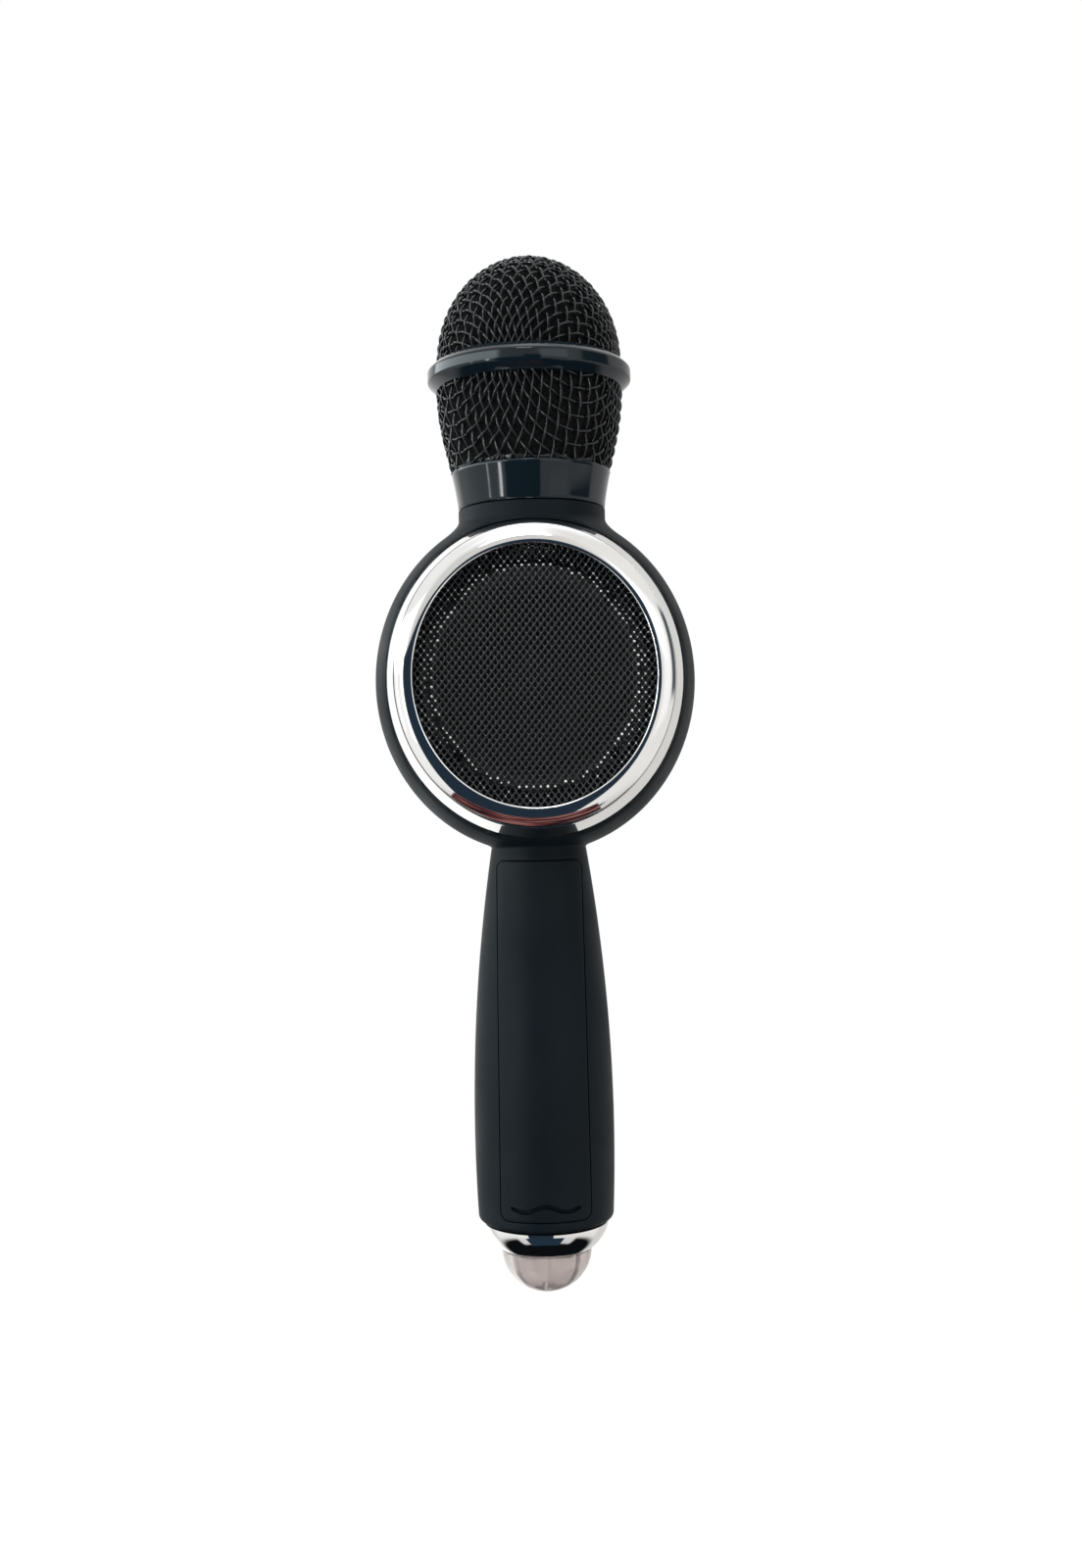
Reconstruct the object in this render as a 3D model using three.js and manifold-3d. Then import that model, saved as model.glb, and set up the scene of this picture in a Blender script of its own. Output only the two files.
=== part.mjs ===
// A wireless karaoke microphone with its own loudspeaker, as separate pieces.
// Millimetres, +Z up the handle to the head. The origin is on the handle's axis, in the middle
// of the grip. -Y is the side of the loudspeaker and the battery cover, +Y that of the controls.

import * as THREE from 'three';
import { mergeVertices } from 'three/addons/utils/BufferGeometryUtils.js';
import Module from 'manifold-3d';

const wasm = await Module();
wasm.setup();

// ---- driving dimensions -------------------------------------------------------------------

const GAP = 0.3;          // clearance between neighbouring pieces
const OVAL = 1.08;        // how much taller than wide the casing's disc is
const FAR = 60;           // reach of a cutting solid that only has to pass the edge

const FACETS = 36;         // round the disc and the rings
const HANDLE_FACETS = 26;  // round the handle and the head
const INNER_FACETS = 16;   // round the loudspeaker, the capsule, the cell and the tail
const SMALL_FACETS = 10;   // round buttons, screws and lamps

// the handle swells to its belly and narrows as a parabola towards the disc
const HANDLE = { bottomZ: -48.8, topZ: 42.5, bellyZ: -26, bellyRadius: 17.5, topRadius: 12.1, wall: 2.2,
  rim: 1.2 };
const DISC = { centreZ: 85.8, radius: 40, edgeRadius: 36.3, halfDepth: 15.2, wall: 2.2, baffle: 2,
  hole: 24.6 };
const NECK = { radius: 18.4, startZ: 60, fullZ: 112, topZ: 128.6, wall: 2,
  spigotRadius: 16, spigotTopZ: 137 };

// a bezel ring stands on each face of the disc; radii are along X, depths from the mid-plane
const BEZEL = {
  base: { radius: 36, depth: DISC.halfDepth + GAP },
  crease: { radius: 33.5, depth: 24.2 },
  rim: { radius: 33.2, depth: 24.9 },
  crest: { radius: 29.6, depth: 26, land: 0.8 },
  lip: { radius: 28.9, depth: 25.6 },
  ledgeDepth: 21.2,
  wall: 1.7,
};
const GRILLE = { flangeRadius: 31.3, flatDepth: 20.8, stepRadius: 26, topRadius: 24.5, topDepth: 22.4,
  crownDepth: 23.3, thickness: 0.8 };
const SPEAKER = { flangeRadius: 28, flange: 1.2, basketDepth: 3.2, basketRadius: 12.2, skin: 1.1,
  coilRadius: 6.3, coilDepth: 3.5, magnetRadius: 14, magnetDepth: 9, screwRadius: 26.2 };
const CONE = { neckDepth: 7, radius: 18.7, roll: 4, rollHeight: 1.6, edgeRadius: 24.3, skin: 0.5 };
const DUST_CAP = { radius: 7.4, footDepth: 8.8, topDepth: 10.8, skin: 0.5 };
const RADIATOR = { weightRadius: 13, weight: 1.8, sheetRadius: 15, roll: 7, rollHeight: 2.2 };
const SPEAKER_SCREW = { headRadius: 1.4, head: 0.9, shank: 0.75, length: 4 };

const COVER = { topZ: 41.2, bottomZ: -46, topHalfWidth: 10.4, bottomHalfWidth: 11, corner: 1.8,
  thickness: 1.6 };
// two hooks at the cover's top reach under the shell and are what it turns on
const HOOK = { x: 5, halfWidth: 1.3, rootY: -10.6, root: 2, frontY: -6.9, backY: -5.7,
  footZ: 38.2, topZ: 43.2 };
const CELL = { radius: 9.15, bottomZ: -40, topZ: 25, y: -3.2 };
const TRAY = { inner: 9.5, outer: 10.4, bottomZ: -42.3, topZ: 26.1, end: 1, edgeY: -8.5,
  plateHalfWidth: 8.8, plateTopZ: 37.5, plateBackY: -4.5, plateFrontY: -3.1 };
const SPRING = { wire: 0.28, turns: 2.5, wideRadius: 6, narrowRadius: 3.6, height: 1.2 };
// two screws above the cell draw the tray and the front shell together
const CASE_SCREW = { x: 5, z: 33.8, headRadius: 2.1, head: 1.5, shank: 1.1, length: 8,
  bossRadius: 2.5, bossY: -2.8, bossEndY: 10.4, bossHole: 8.8 };

const PANEL = { halfWidth: 7.6, bottomZ: -36, topZ: 33, corner: 2.5, proud: 0.25, depth: 0.9 };
const BOARD = { backY: 7.4, thickness: 1.2, halfWidth: 6.6, bottomZ: -44, topZ: 30 };
const BUTTON = { radius: 2.6, flangeRadius: 3.3, flange: 0.4, travel: 0.8, proud: 0.9 };
const SWITCH = { topY: 9.85, halfWidth: 2.2, plungerRadius: 1.1, plunger: 0.4 };
const BUTTONS = { power_button: 25, previous_button: 16, play_button: 7, next_button: -2 };
const SLIDER = { z: -21, travel: 6, stemWidth: 1.4, stemHeight: 2.4,
  capWidth: 3.4, capHeight: 4.6, cap: 1.7 };
const POT = { topY: 12.4, halfWidth: 2.1, halfHeight: 9.5, trackHalfWidth: 0.9, trackHalfHeight: 7.6 };
const SLIDERS = { music_slider: -4.8, voice_slider: 0, echo_slider: 4.8 };
const PORTS = { z: -40.4, frontY: 15.3, usbX: -3, usbHalfWidth: 4.5, usbHalfHeight: 1.65,
  jackX: 5, jackRadius: 2.8, jackBore: 1.8, jackDepth: 5 };

const COLLAR = { bottomRadius: 18.4, topRadius: 19.9, topZ: 138.5, threadRadius: 16.8, threadTopZ: 143 };
const HEAD = { footRadius: 20, shoulderRadius: 23.3, domeRadius: 23.1, topZ: 192, mesh: 1 };
const BAND = { bottomZ: 158.6, topZ: 165.5, radius: 25.5, edgeRadius: 23.3,
  faceBottomZ: 160.6, faceTopZ: 163.4,
  bore: 22 };
const FOAM = 5;
const CAPSULE = { radius: 7.9, bottomZ: 149.5, topZ: 158.5, holder: 1, flange: 1.4 };
const TAIL = { topRadius: 15.7, bottomRadius: 11.5, bottomZ: -56, bore: 11, ledgeRadius: 9, ledge: 1.5,
  spigotBore: 11.6, spigotRadius: 13.1, spigotTopZ: -45.6 };
const LIGHT = { radius: 11.2, reach: 10.8, tipZ: -66.7, wall: 1.5, innerRadius: 9.3, collarRadius: 10.7,
  collarTopZ: -52 };
const LAMP = { boardRadius: 8.9, boardTopZ: -52.2, board: 1.2, radius: 2.4, length: 5, ring: 4.7, count: 3 };

// ---- finishes -----------------------------------------------------------------------------

const finish = (color, roughness, metalness = 0) => ({ color, roughness, metalness });
const SOFT_BLACK = finish(0x24282b, 0.62);
const GLOSS_BLACK = finish(0x1a1d1f, 0.12);
const CHROME = finish(0xdfe2e6, 0.06, 1);
const BLACK_WIRE = finish(0x1c1f20, 0.35, 0.6);
const FOAM_BLACK = finish(0x0e0f10, 0.95);
const STEEL = finish(0x9a9da0, 0.35, 1);
const BOARD_GREEN = finish(0x1d5a36, 0.5);
const CLEAR_PLASTIC = finish(0xcfc6c6, 0.15);
const DARK_PLASTIC = finish(0x202224, 0.5);
const PAPER_CONE = finish(0x2b2a28, 0.85);
const CELL_SLEEVE = finish(0x2f6f9f, 0.35);
const LAMP_WHITE = finish(0xf2f2ea, 0.2);

// ---- solids -------------------------------------------------------------------------------

/** A closed three.js geometry as a solid, turned inside out where its faces point in. */
function solid(geometry) {
  const bare = geometry.index ? geometry.toNonIndexed() : geometry.clone();
  bare.deleteAttribute('normal');
  bare.deleteAttribute('uv');
  const merged = mergeVertices(bare, 1e-3);
  const points = merged.getAttribute('position');
  const corner = (i) => new THREE.Vector3().fromBufferAttribute(points, i);
  const triangles = [];
  let volume = 0;
  for (let i = 0; i < merged.index.count; i += 3) {
    const [a, b, c] = [0, 1, 2].map((k) => merged.index.getX(i + k));
    if (a === b || b === c || c === a) continue;
    triangles.push(a, b, c);
    volume += corner(a).dot(corner(b).cross(corner(c)));
  }
  if (volume < 0) triangles.reverse();
  return new wasm.Manifold(new wasm.Mesh({
    numProp: 3,
    vertProperties: new Float32Array(points.array),
    triVerts: new Uint32Array(triangles),
  }));
}

/** The solid as a three.js geometry. */
function geometryOf(body) {
  const mesh = body.getMesh();
  const geometry = new THREE.BufferGeometry();
  const positions = new Float32Array(mesh.vertProperties);
  geometry.setAttribute('position', new THREE.BufferAttribute(positions, 3));
  geometry.setIndex(new THREE.BufferAttribute(new Uint32Array(mesh.triVerts), 1));
  geometry.computeVertexNormals();
  return geometry;
}

const point = ([x, y]) => new THREE.Vector2(x, y);
const closed = (points) => [...points, points[0]];

/** Turned about Z: a profile of [radius, z] pairs that starts and ends on the axis or closes. */
function turnedZ(profile, facets = HANDLE_FACETS) {
  return solid(new THREE.LatheGeometry(profile.map(point), facets).rotateX(Math.PI / 2));
}

/** Turned about an axis along Y: a profile of [radius, y] pairs, placed at (x, z). */
function turnedY(profile, { facets = SMALL_FACETS, x = 0, z = 0, oval = 1 } = {}) {
  const turned = new THREE.LatheGeometry(profile.map(point), facets);
  return solid(turned.scale(1, 1, oval).translate(x, 0, z));
}

/** An oval part of the disc: turned about Y at its centre, with depths towards side (-1 or 1). */
function discPart(profile, side = 1) {
  const depths = profile.map(([radius, depth]) => [radius, side * depth]);
  return turnedY(depths, { facets: FACETS, z: DISC.centreZ, oval: OVAL });
}

/** A round part behind the disc's face, as the loudspeaker's are. */
function roundPart(profile, side = -1) {
  const depths = profile.map(([radius, depth]) => [radius, side * depth]);
  return turnedY(depths, { facets: INNER_FACETS, z: DISC.centreZ });
}

/** A box from its lowest to its highest corner. */
function box([x0, y0, z0], [x1, y1, z1]) {
  const sides = new THREE.BoxGeometry(x1 - x0, y1 - y0, z1 - z0);
  return solid(sides.translate((x0 + x1) / 2, (y0 + y1) / 2, (z0 + z1) / 2));
}

/** A shape drawn in x and z, extruded along Y from y0 to y1. */
function slab(shape, y0, y1, curveSegments = 5) {
  const extruded = new THREE.ExtrudeGeometry(shape, { depth: y1 - y0, bevelEnabled: false, curveSegments });
  return solid(extruded.rotateX(Math.PI / 2).translate(0, y1, 0));
}

/** A rectangle with rounded corners, in x and z. */
function roundedRectangle(x0, z0, x1, z1, corner) {
  const shape = new THREE.Shape();
  shape.moveTo(x0 + corner, z0);
  shape.lineTo(x1 - corner, z0);
  shape.absarc(x1 - corner, z0 + corner, corner, -Math.PI / 2, 0);
  shape.absarc(x1 - corner, z1 - corner, corner, 0, Math.PI / 2);
  shape.absarc(x0 + corner, z1 - corner, corner, Math.PI / 2, Math.PI);
  shape.absarc(x0 + corner, z0 + corner, corner, Math.PI, 1.5 * Math.PI);
  return shape;
}

/** Points of a quarter ellipse from (radius, z0) up or down to the axis at (0, z1). */
function quarter(radius, z0, z1, steps) {
  return Array.from({ length: steps + 1 }, (_, i) => {
    const angle = (i / steps) * (Math.PI / 2);
    return [i === steps ? 0 : radius * Math.cos(angle), z0 + (z1 - z0) * Math.sin(angle)];
  });
}

// ---- the casing ---------------------------------------------------------------------------

/** The handle's radius at a height. */
function handleRadius(z) {
  const reach = (z - HANDLE.bellyZ) / (HANDLE.topZ - HANDLE.bellyZ);
  return HANDLE.bellyRadius - (HANDLE.bellyRadius - HANDLE.topRadius) * reach ** 2;
}

/** Stations of the handle's side from z0 to z1, set in by inset. */
function handleSide(z0, z1, inset, steps = 6) {
  return Array.from({ length: steps + 1 }, (_, i) => {
    const z = z0 + ((z1 - z0) * i) / steps;
    return [handleRadius(z) - inset, z];
  });
}

/** The part of the handle's skin between two insets, from z0 to z1. */
function handleSkin(z0, z1, outerInset, innerInset) {
  return turnedZ(closed([...handleSide(z0, z1, outerInset), ...handleSide(z0, z1, innerInset).reverse()]));
}

/** Handle, disc and neck before they are hollowed and split. */
function casingOutside() {
  const { bottomZ, topZ, topRadius, rim } = HANDLE;
  const bottomRadius = handleRadius(bottomZ);
  const column = turnedZ([
    [0, bottomZ],
    [bottomRadius - rim, bottomZ],
    [bottomRadius - rim * 0.3, bottomZ + rim * 0.3],
    ...handleSide(bottomZ + rim, topZ + 4, 0),
    [topRadius, NECK.startZ],
    [NECK.radius, NECK.fullZ],
    [NECK.radius, NECK.topZ],
    [NECK.spigotRadius, NECK.topZ],
    [NECK.spigotRadius, NECK.spigotTopZ],
    [0, NECK.spigotTopZ],
  ]);
  const { radius, edgeRadius, halfDepth } = DISC;
  const barrel = [-1, -0.66, -0.33, 0, 0.33, 0.66, 1].map((k) => [
    radius - (radius - edgeRadius) * k ** 2, k * halfDepth,
  ]);
  const disc = discPart([[0, -halfDepth], ...barrel, [0, halfDepth]]);
  return column.add(disc).subtract(bezelSeat(-1)).subtract(bezelSeat(1));
}

/** The room that a bezel ring and everything inside it takes from the casing. */
function bezelSeat(side) {
  return discPart([
    [0, DISC.halfDepth],
    [BEZEL.base.radius + GAP, DISC.halfDepth],
    [BEZEL.crease.radius + GAP, BEZEL.crease.depth],
    [BEZEL.crease.radius + GAP, BEZEL.crest.depth + 1],
    [0, BEZEL.crest.depth + 1],
  ], side);
}

/** The casing's hollow: handle, disc and neck in one, open below, above and through the baffles. */
function casingHollow() {
  const floorZ = HANDLE.bottomZ + HANDLE.wall;
  const throat = HANDLE.topRadius - HANDLE.wall;
  const column = turnedZ([
    [0, HANDLE.bottomZ - 1],
    [TAIL.spigotRadius + GAP, HANDLE.bottomZ - 1],
    [TAIL.spigotRadius + GAP, floorZ],
    ...handleSide(floorZ, HANDLE.topZ, HANDLE.wall),
    [throat, NECK.startZ],
    [NECK.radius - NECK.wall, NECK.fullZ],
    [NECK.radius - NECK.wall, NECK.topZ - NECK.wall],
    [NECK.spigotRadius - NECK.wall, NECK.topZ],
    [NECK.spigotRadius - NECK.wall, NECK.spigotTopZ + 1],
    [0, NECK.spigotTopZ + 1],
  ]);
  const innerDepth = DISC.halfDepth - DISC.baffle;
  const disc = discPart([
    [0, -innerDepth],
    [DISC.edgeRadius - DISC.wall, -innerDepth],
    [DISC.radius - DISC.wall, 0],
    [DISC.edgeRadius - DISC.wall, innerDepth],
    [0, innerDepth],
  ]);
  const holes = roundPart([[0, -DISC.halfDepth - 8], [DISC.hole, -DISC.halfDepth - 8],
    [DISC.hole, DISC.halfDepth + 8], [0, DISC.halfDepth + 8]]);
  return column.add(disc).add(holes);
}

/** The battery cover's outline in x and z, grown by grow: a tall shape, wider at its foot. */
function coverOutline(grow) {
  const { corner } = COVER;
  const top = COVER.topHalfWidth + grow;
  const foot = COVER.bottomHalfWidth + grow;
  const topZ = COVER.topZ + grow;
  const footZ = COVER.bottomZ - grow;
  const shape = new THREE.Shape();
  shape.moveTo(foot - corner, footZ);
  shape.quadraticCurveTo(foot, footZ, foot, footZ + corner);
  shape.lineTo(top, topZ - corner);
  shape.quadraticCurveTo(top, topZ, top - corner, topZ);
  shape.lineTo(corner - top, topZ);
  shape.quadraticCurveTo(-top, topZ, -top, topZ - corner);
  shape.lineTo(-foot, footZ + corner);
  shape.quadraticCurveTo(-foot, footZ, corner - foot, footZ);
  return shape;
}

const speakerScrewPlaces = [45, 135, 225, 315].map((degrees) => {
  const angle = (degrees * Math.PI) / 180;
  const reach = SPEAKER.screwRadius;
  return { x: reach * Math.cos(angle), z: DISC.centreZ + reach * Math.sin(angle) };
});

function speakerScrewHoles() {
  const radius = SPEAKER_SCREW.shank + GAP;
  return speakerScrewPlaces
    .map(({ x, z }) => post(x, z, radius, -DISC.halfDepth - 4, -DISC.halfDepth + DISC.baffle + 1, 8))
    .reduce((all, hole) => all.add(hole));
}

const outside = casingOutside();
const hollow = casingHollow();
const casing = outside.subtract(hollow);

function rearShell() {
  const half = box([-FAR, -FAR, -FAR], [FAR, -GAP / 2, 3 * FAR]);
  return casing.intersect(half).subtract(slab(coverOutline(GAP), -FAR, -1)).subtract(speakerScrewHoles());
}

function frontShell() {
  const half = box([-FAR, GAP / 2, -FAR], [FAR, FAR, 3 * FAR]);
  const seat = handleSkin(PANEL.bottomZ - 2, PANEL.topZ + 2, -4, PANEL.depth + GAP)
    .intersect(slab(panelOutline(GAP), 1, FAR));
  let shell = casing.intersect(half).subtract(seat);
  for (const z of Object.values(BUTTONS)) shell = shell.subtract(buttonHole(z));
  for (const x of Object.values(SLIDERS)) shell = shell.subtract(sliderSlot(x));
  shell = shell.subtract(slab(usbOutline(GAP), BOARD.backY + 4, FAR));
  shell = shell.subtract(post(PORTS.jackX, PORTS.z, PORTS.jackRadius + GAP, 11, FAR));
  for (const x of [-CASE_SCREW.x, CASE_SCREW.x]) shell = shell.add(screwBoss(x));
  return shell;
}

/** A round post along Y. */
function post(x, z, radius, y0, y1, facets = SMALL_FACETS) {
  return turnedY([[0, y0], [radius, y0], [radius, y1], [0, y1]], { x, z, facets });
}

/** A hollow post inside the front shell that takes a case screw. */
function screwBoss(x) {
  const { z, bossRadius, bossY, bossEndY, bossHole, shank } = CASE_SCREW;
  const boss = post(x, z, bossRadius, bossY, bossEndY);
  return boss.subtract(post(x, z, shank + GAP, bossY - 1, bossY + bossHole));
}

/** A pan-head screw along Y, driven from headY towards +Y or -Y. */
function screw(x, z, headY, direction, { headRadius, head, shank, length }) {
  const at = (distance) => headY + direction * distance;
  const slot = box([x - headRadius, Math.min(at(-1), at(head / 2)), z - 0.3],
    [x + headRadius, Math.max(at(-1), at(head / 2)), z + 0.3]);
  return turnedY([
    [0, at(0)], [headRadius * 0.7, at(0)], [headRadius, at(head * 0.6)], [headRadius, at(head)],
    [shank, at(head)], [shank, at(head + length - shank)], [0, at(head + length)],
  ], { x, z }).subtract(slot);
}

function batteryCover() {
  const { halfWidth, frontY, backY, footZ, topZ, rootY } = HOOK;
  const skin = handleSkin(COVER.bottomZ - 1, COVER.topZ + 1, 0, COVER.thickness);
  let cover = skin.intersect(slab(coverOutline(0), -FAR, -1));
  for (const x of [-HOOK.x, HOOK.x]) {
    const tongue = box([x - halfWidth, frontY, footZ], [x + halfWidth, backY, topZ]);
    const root = box([x - halfWidth, rootY, footZ], [x + halfWidth, backY, footZ + HOOK.root]);
    cover = cover.add(tongue.add(root));
  }
  return cover;
}

// ---- loudspeaker side and its twin --------------------------------------------------------

/** A ring with a steep skirt and a face that is highest near its lip and falls to its rim. */
function bezelRing(side) {
  const { base, crease, rim, crest, lip, ledgeDepth, wall } = BEZEL;
  const start = crest.radius + crest.land / 2;
  const face = [1, 0.75, 0.5, 0.25, 0].map((k) => [
    start + (rim.radius - start) * k, crest.depth - (crest.depth - rim.depth) * k ** 2,
  ]);
  return discPart(closed([
    [base.radius, base.depth],
    [crease.radius, crease.depth],
    ...face,
    [crest.radius - crest.land / 2, crest.depth],
    [lip.radius, lip.depth],
    [lip.radius, ledgeDepth],
    [GRILLE.flangeRadius + GAP, ledgeDepth],
    [base.radius - wall, base.depth],
  ]), side);
}

function grille(side) {
  const { flangeRadius, flatDepth, stepRadius, topRadius, topDepth, crownDepth, thickness } = GRILLE;
  const face = (drop) => [
    [0, crownDepth - drop],
    [topRadius * 0.6, crownDepth - 0.3 - drop],
    [topRadius - drop * 0.4, topDepth - drop],
    [stepRadius - drop * 0.4, flatDepth - drop],
    [flangeRadius, flatDepth - drop],
  ];
  return discPart([...face(0), ...face(thickness).reverse()], side);
}

function speakerFrame() {
  const front = DISC.halfDepth + GAP;
  const { flangeRadius, flange, basketDepth, basketRadius, skin, coilRadius } = SPEAKER;
  const bore = coilRadius + 0.5;
  const mouth = DISC.hole - 0.7;
  return roundPart(closed([
    [flangeRadius, front],
    [flangeRadius, front + flange],
    [mouth - 0.5, front + flange],
    [mouth - 1.5, front],
    [basketRadius - 0.7, basketDepth + skin],
    [bore, basketDepth + skin],
    [bore, basketDepth],
    [basketRadius, basketDepth],
    [mouth, front - skin],
    [mouth, front],
  ])).subtract(speakerScrewHoles());
}

/** A roll surround as half a wave, from its inner radius outwards. */
function rollSurround(radius, width, depth, height) {
  return [0, 0.25, 0.5, 0.75, 1].map((k) => [radius + width * k, depth + height * Math.sin(k * Math.PI)]);
}

/** Paper cone with its roll surround and the coil's tube behind it. */
function speakerCone() {
  const edge = DISC.halfDepth + GAP + SPEAKER.flange + GAP;
  const { neckDepth, radius, roll, rollHeight, edgeRadius, skin } = CONE;
  const { coilRadius, coilDepth } = SPEAKER;
  const sheet = [...rollSurround(radius, roll, edge, rollHeight), [edgeRadius, edge]];
  const front = sheet.map(([r, depth]) => [r, depth + skin]);
  return roundPart(closed([
    [coilRadius, coilDepth], [coilRadius, neckDepth], ...sheet,
    ...front.reverse(), [coilRadius - 0.4, neckDepth + skin], [coilRadius - 0.4, coilDepth],
  ]));
}

function dustCap() {
  const { radius, footDepth, topDepth, skin } = DUST_CAP;
  const outer = quarter(radius, footDepth, topDepth, 3);
  const inner = quarter(radius - skin, footDepth, topDepth - skin, 3);
  return roundPart([...outer.reverse(), ...inner]);
}

function speakerMagnet() {
  const front = SPEAKER.basketDepth - GAP;
  const back = front - SPEAKER.magnetDepth;
  const radius = SPEAKER.magnetRadius;
  const chamfer = 0.5;
  return roundPart([[0, front], [radius - chamfer, front], [radius, front - chamfer],
    [radius, back + chamfer], [radius - chamfer, back], [0, back]]);
}

/** A weighted diaphragm on a roll surround, in the face opposite the loudspeaker. */
function passiveRadiator() {
  const seat = DISC.halfDepth + GAP;
  const { weightRadius, weight, sheetRadius, roll, rollHeight } = RADIATOR;
  const sheet = [...rollSurround(sheetRadius, roll, seat, rollHeight), [SPEAKER.flangeRadius, seat]];
  const front = sheet.map(([radius, depth]) => [radius, depth + SPEAKER.flange]);
  return roundPart([
    [0, seat - weight], [weightRadius, seat - weight], [weightRadius, seat], ...sheet,
    ...front.reverse(), [weightRadius, seat + weight], [0, seat + weight],
  ], 1);
}

// ---- head ---------------------------------------------------------------------------------

/** The lower basket's side: it bulges from its foot to its shoulder. */
function basketSide(inset, steps = 4) {
  const footZ = COLLAR.topZ + GAP;
  const height = BAND.bottomZ - GAP - footZ;
  const { footRadius, shoulderRadius } = HEAD;
  return Array.from({ length: steps + 1 }, (_, i) => {
    const bulge = Math.sin((i / steps) * (Math.PI / 2));
    return [footRadius + (shoulderRadius - footRadius) * bulge - inset, footZ + (height * i) / steps];
  });
}

function headBasket() {
  return turnedZ(closed([...basketSide(0), ...basketSide(HEAD.mesh).reverse()]));
}

function headDome() {
  const footZ = BAND.topZ + GAP;
  const outer = quarter(HEAD.domeRadius, footZ, HEAD.topZ, 7);
  const inner = quarter(HEAD.domeRadius - HEAD.mesh, footZ, HEAD.topZ - HEAD.mesh, 7);
  return turnedZ([...inner.reverse(), ...outer]);
}

function headBand() {
  return turnedZ(closed([
    [BAND.edgeRadius, BAND.bottomZ], [BAND.radius, BAND.faceBottomZ], [BAND.radius, BAND.faceTopZ],
    [BAND.edgeRadius, BAND.topZ], [BAND.bore, BAND.topZ], [BAND.bore, BAND.bottomZ],
  ]));
}

function headBaseRing() {
  const outer = HEAD.footRadius - HEAD.mesh - GAP;
  const inner = COLLAR.threadRadius + GAP;
  const footZ = COLLAR.topZ + GAP;
  const topZ = COLLAR.threadTopZ - GAP;
  return turnedZ(closed([[outer, footZ], [outer, topZ], [inner, topZ], [inner, footZ]]));
}

function headFoam() {
  const footZ = COLLAR.threadTopZ + GAP;
  const footRadius = HEAD.footRadius - HEAD.mesh;
  const outerRadius = BAND.bore - GAP;
  const topZ = HEAD.topZ - HEAD.mesh;
  const crown = quarter(outerRadius, BAND.topZ, topZ - GAP, 5);
  const hollowCrown = quarter(outerRadius - FOAM, BAND.topZ, topZ - FOAM, 4);
  return turnedZ([
    ...hollowCrown.reverse(), [footRadius - FOAM, footZ], [footRadius - GAP, footZ],
    [outerRadius - 0.7, BAND.bottomZ - 6], ...crown,
  ]);
}

function headCollar() {
  const footZ = NECK.topZ + GAP;
  const { bottomRadius, topRadius, topZ, threadRadius, threadTopZ } = COLLAR;
  const flare = [0, 0.33, 0.66, 1].map((k) => [
    bottomRadius + (topRadius - bottomRadius) * k ** 1.3, footZ + (topZ - 0.4 - footZ) * k,
  ]);
  const thread = threadRadius - 0.9;
  const shoulderZ = NECK.spigotTopZ + GAP;
  const socket = NECK.spigotRadius + GAP;
  return turnedZ(closed([...flare, [topRadius - 0.4, topZ], [threadRadius, topZ], [threadRadius, threadTopZ],
    [thread, threadTopZ], [thread, shoulderZ], [socket, shoulderZ], [socket, footZ]]));
}

/** A tube that holds the capsule, with a flange that rests on the neck's spigot. */
function capsuleHolder() {
  const inner = CAPSULE.radius + GAP;
  const outer = inner + CAPSULE.holder;
  const flangeRadius = COLLAR.threadRadius - 0.9 - GAP;
  const flangeZ = NECK.spigotTopZ + 0.4;
  const topZ = CAPSULE.topZ - 1.5;
  return turnedZ(closed([
    [inner, NECK.topZ], [outer, NECK.topZ], [outer, flangeZ], [flangeRadius, flangeZ],
    [flangeRadius, flangeZ + CAPSULE.flange], [outer, flangeZ + CAPSULE.flange], [outer, topZ], [inner, topZ],
  ]), INNER_FACETS);
}

function micCapsule() {
  const { radius, bottomZ, topZ } = CAPSULE;
  return turnedZ([[0, bottomZ], [radius - 0.4, bottomZ], [radius, bottomZ + 0.4], [radius, topZ - 0.6],
    [radius - 0.6, topZ], [radius - 1.6, topZ], [radius - 1.6, topZ - 0.5], [0, topZ - 0.5]], INNER_FACETS);
}

// ---- controls and electronics -------------------------------------------------------------

const boardFrontY = BOARD.backY + BOARD.thickness;

function panelOutline(grow) {
  const { halfWidth, bottomZ, topZ, corner } = PANEL;
  return roundedRectangle(-halfWidth - grow, bottomZ - grow, halfWidth + grow, topZ + grow, corner + grow);
}

function buttonHole(z) {
  return post(0, z, BUTTON.radius + GAP, boardFrontY, FAR);
}

function sliderSlot(x) {
  const halfWidth = SLIDER.stemWidth / 2 + GAP;
  const halfHeight = SLIDER.travel + SLIDER.stemHeight / 2 + GAP;
  const shape = roundedRectangle(x - halfWidth, SLIDER.z - halfHeight,
    x + halfWidth, SLIDER.z + halfHeight, 0.9);
  return slab(shape, boardFrontY + 1, FAR, 3);
}

function controlPanel() {
  let panel = handleSkin(PANEL.bottomZ - 2, PANEL.topZ + 2, -PANEL.proud, PANEL.depth)
    .intersect(slab(panelOutline(0), 1, FAR));
  for (const z of Object.values(BUTTONS)) panel = panel.subtract(buttonHole(z));
  for (const x of Object.values(SLIDERS)) panel = panel.subtract(sliderSlot(x));
  return panel;
}

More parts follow.
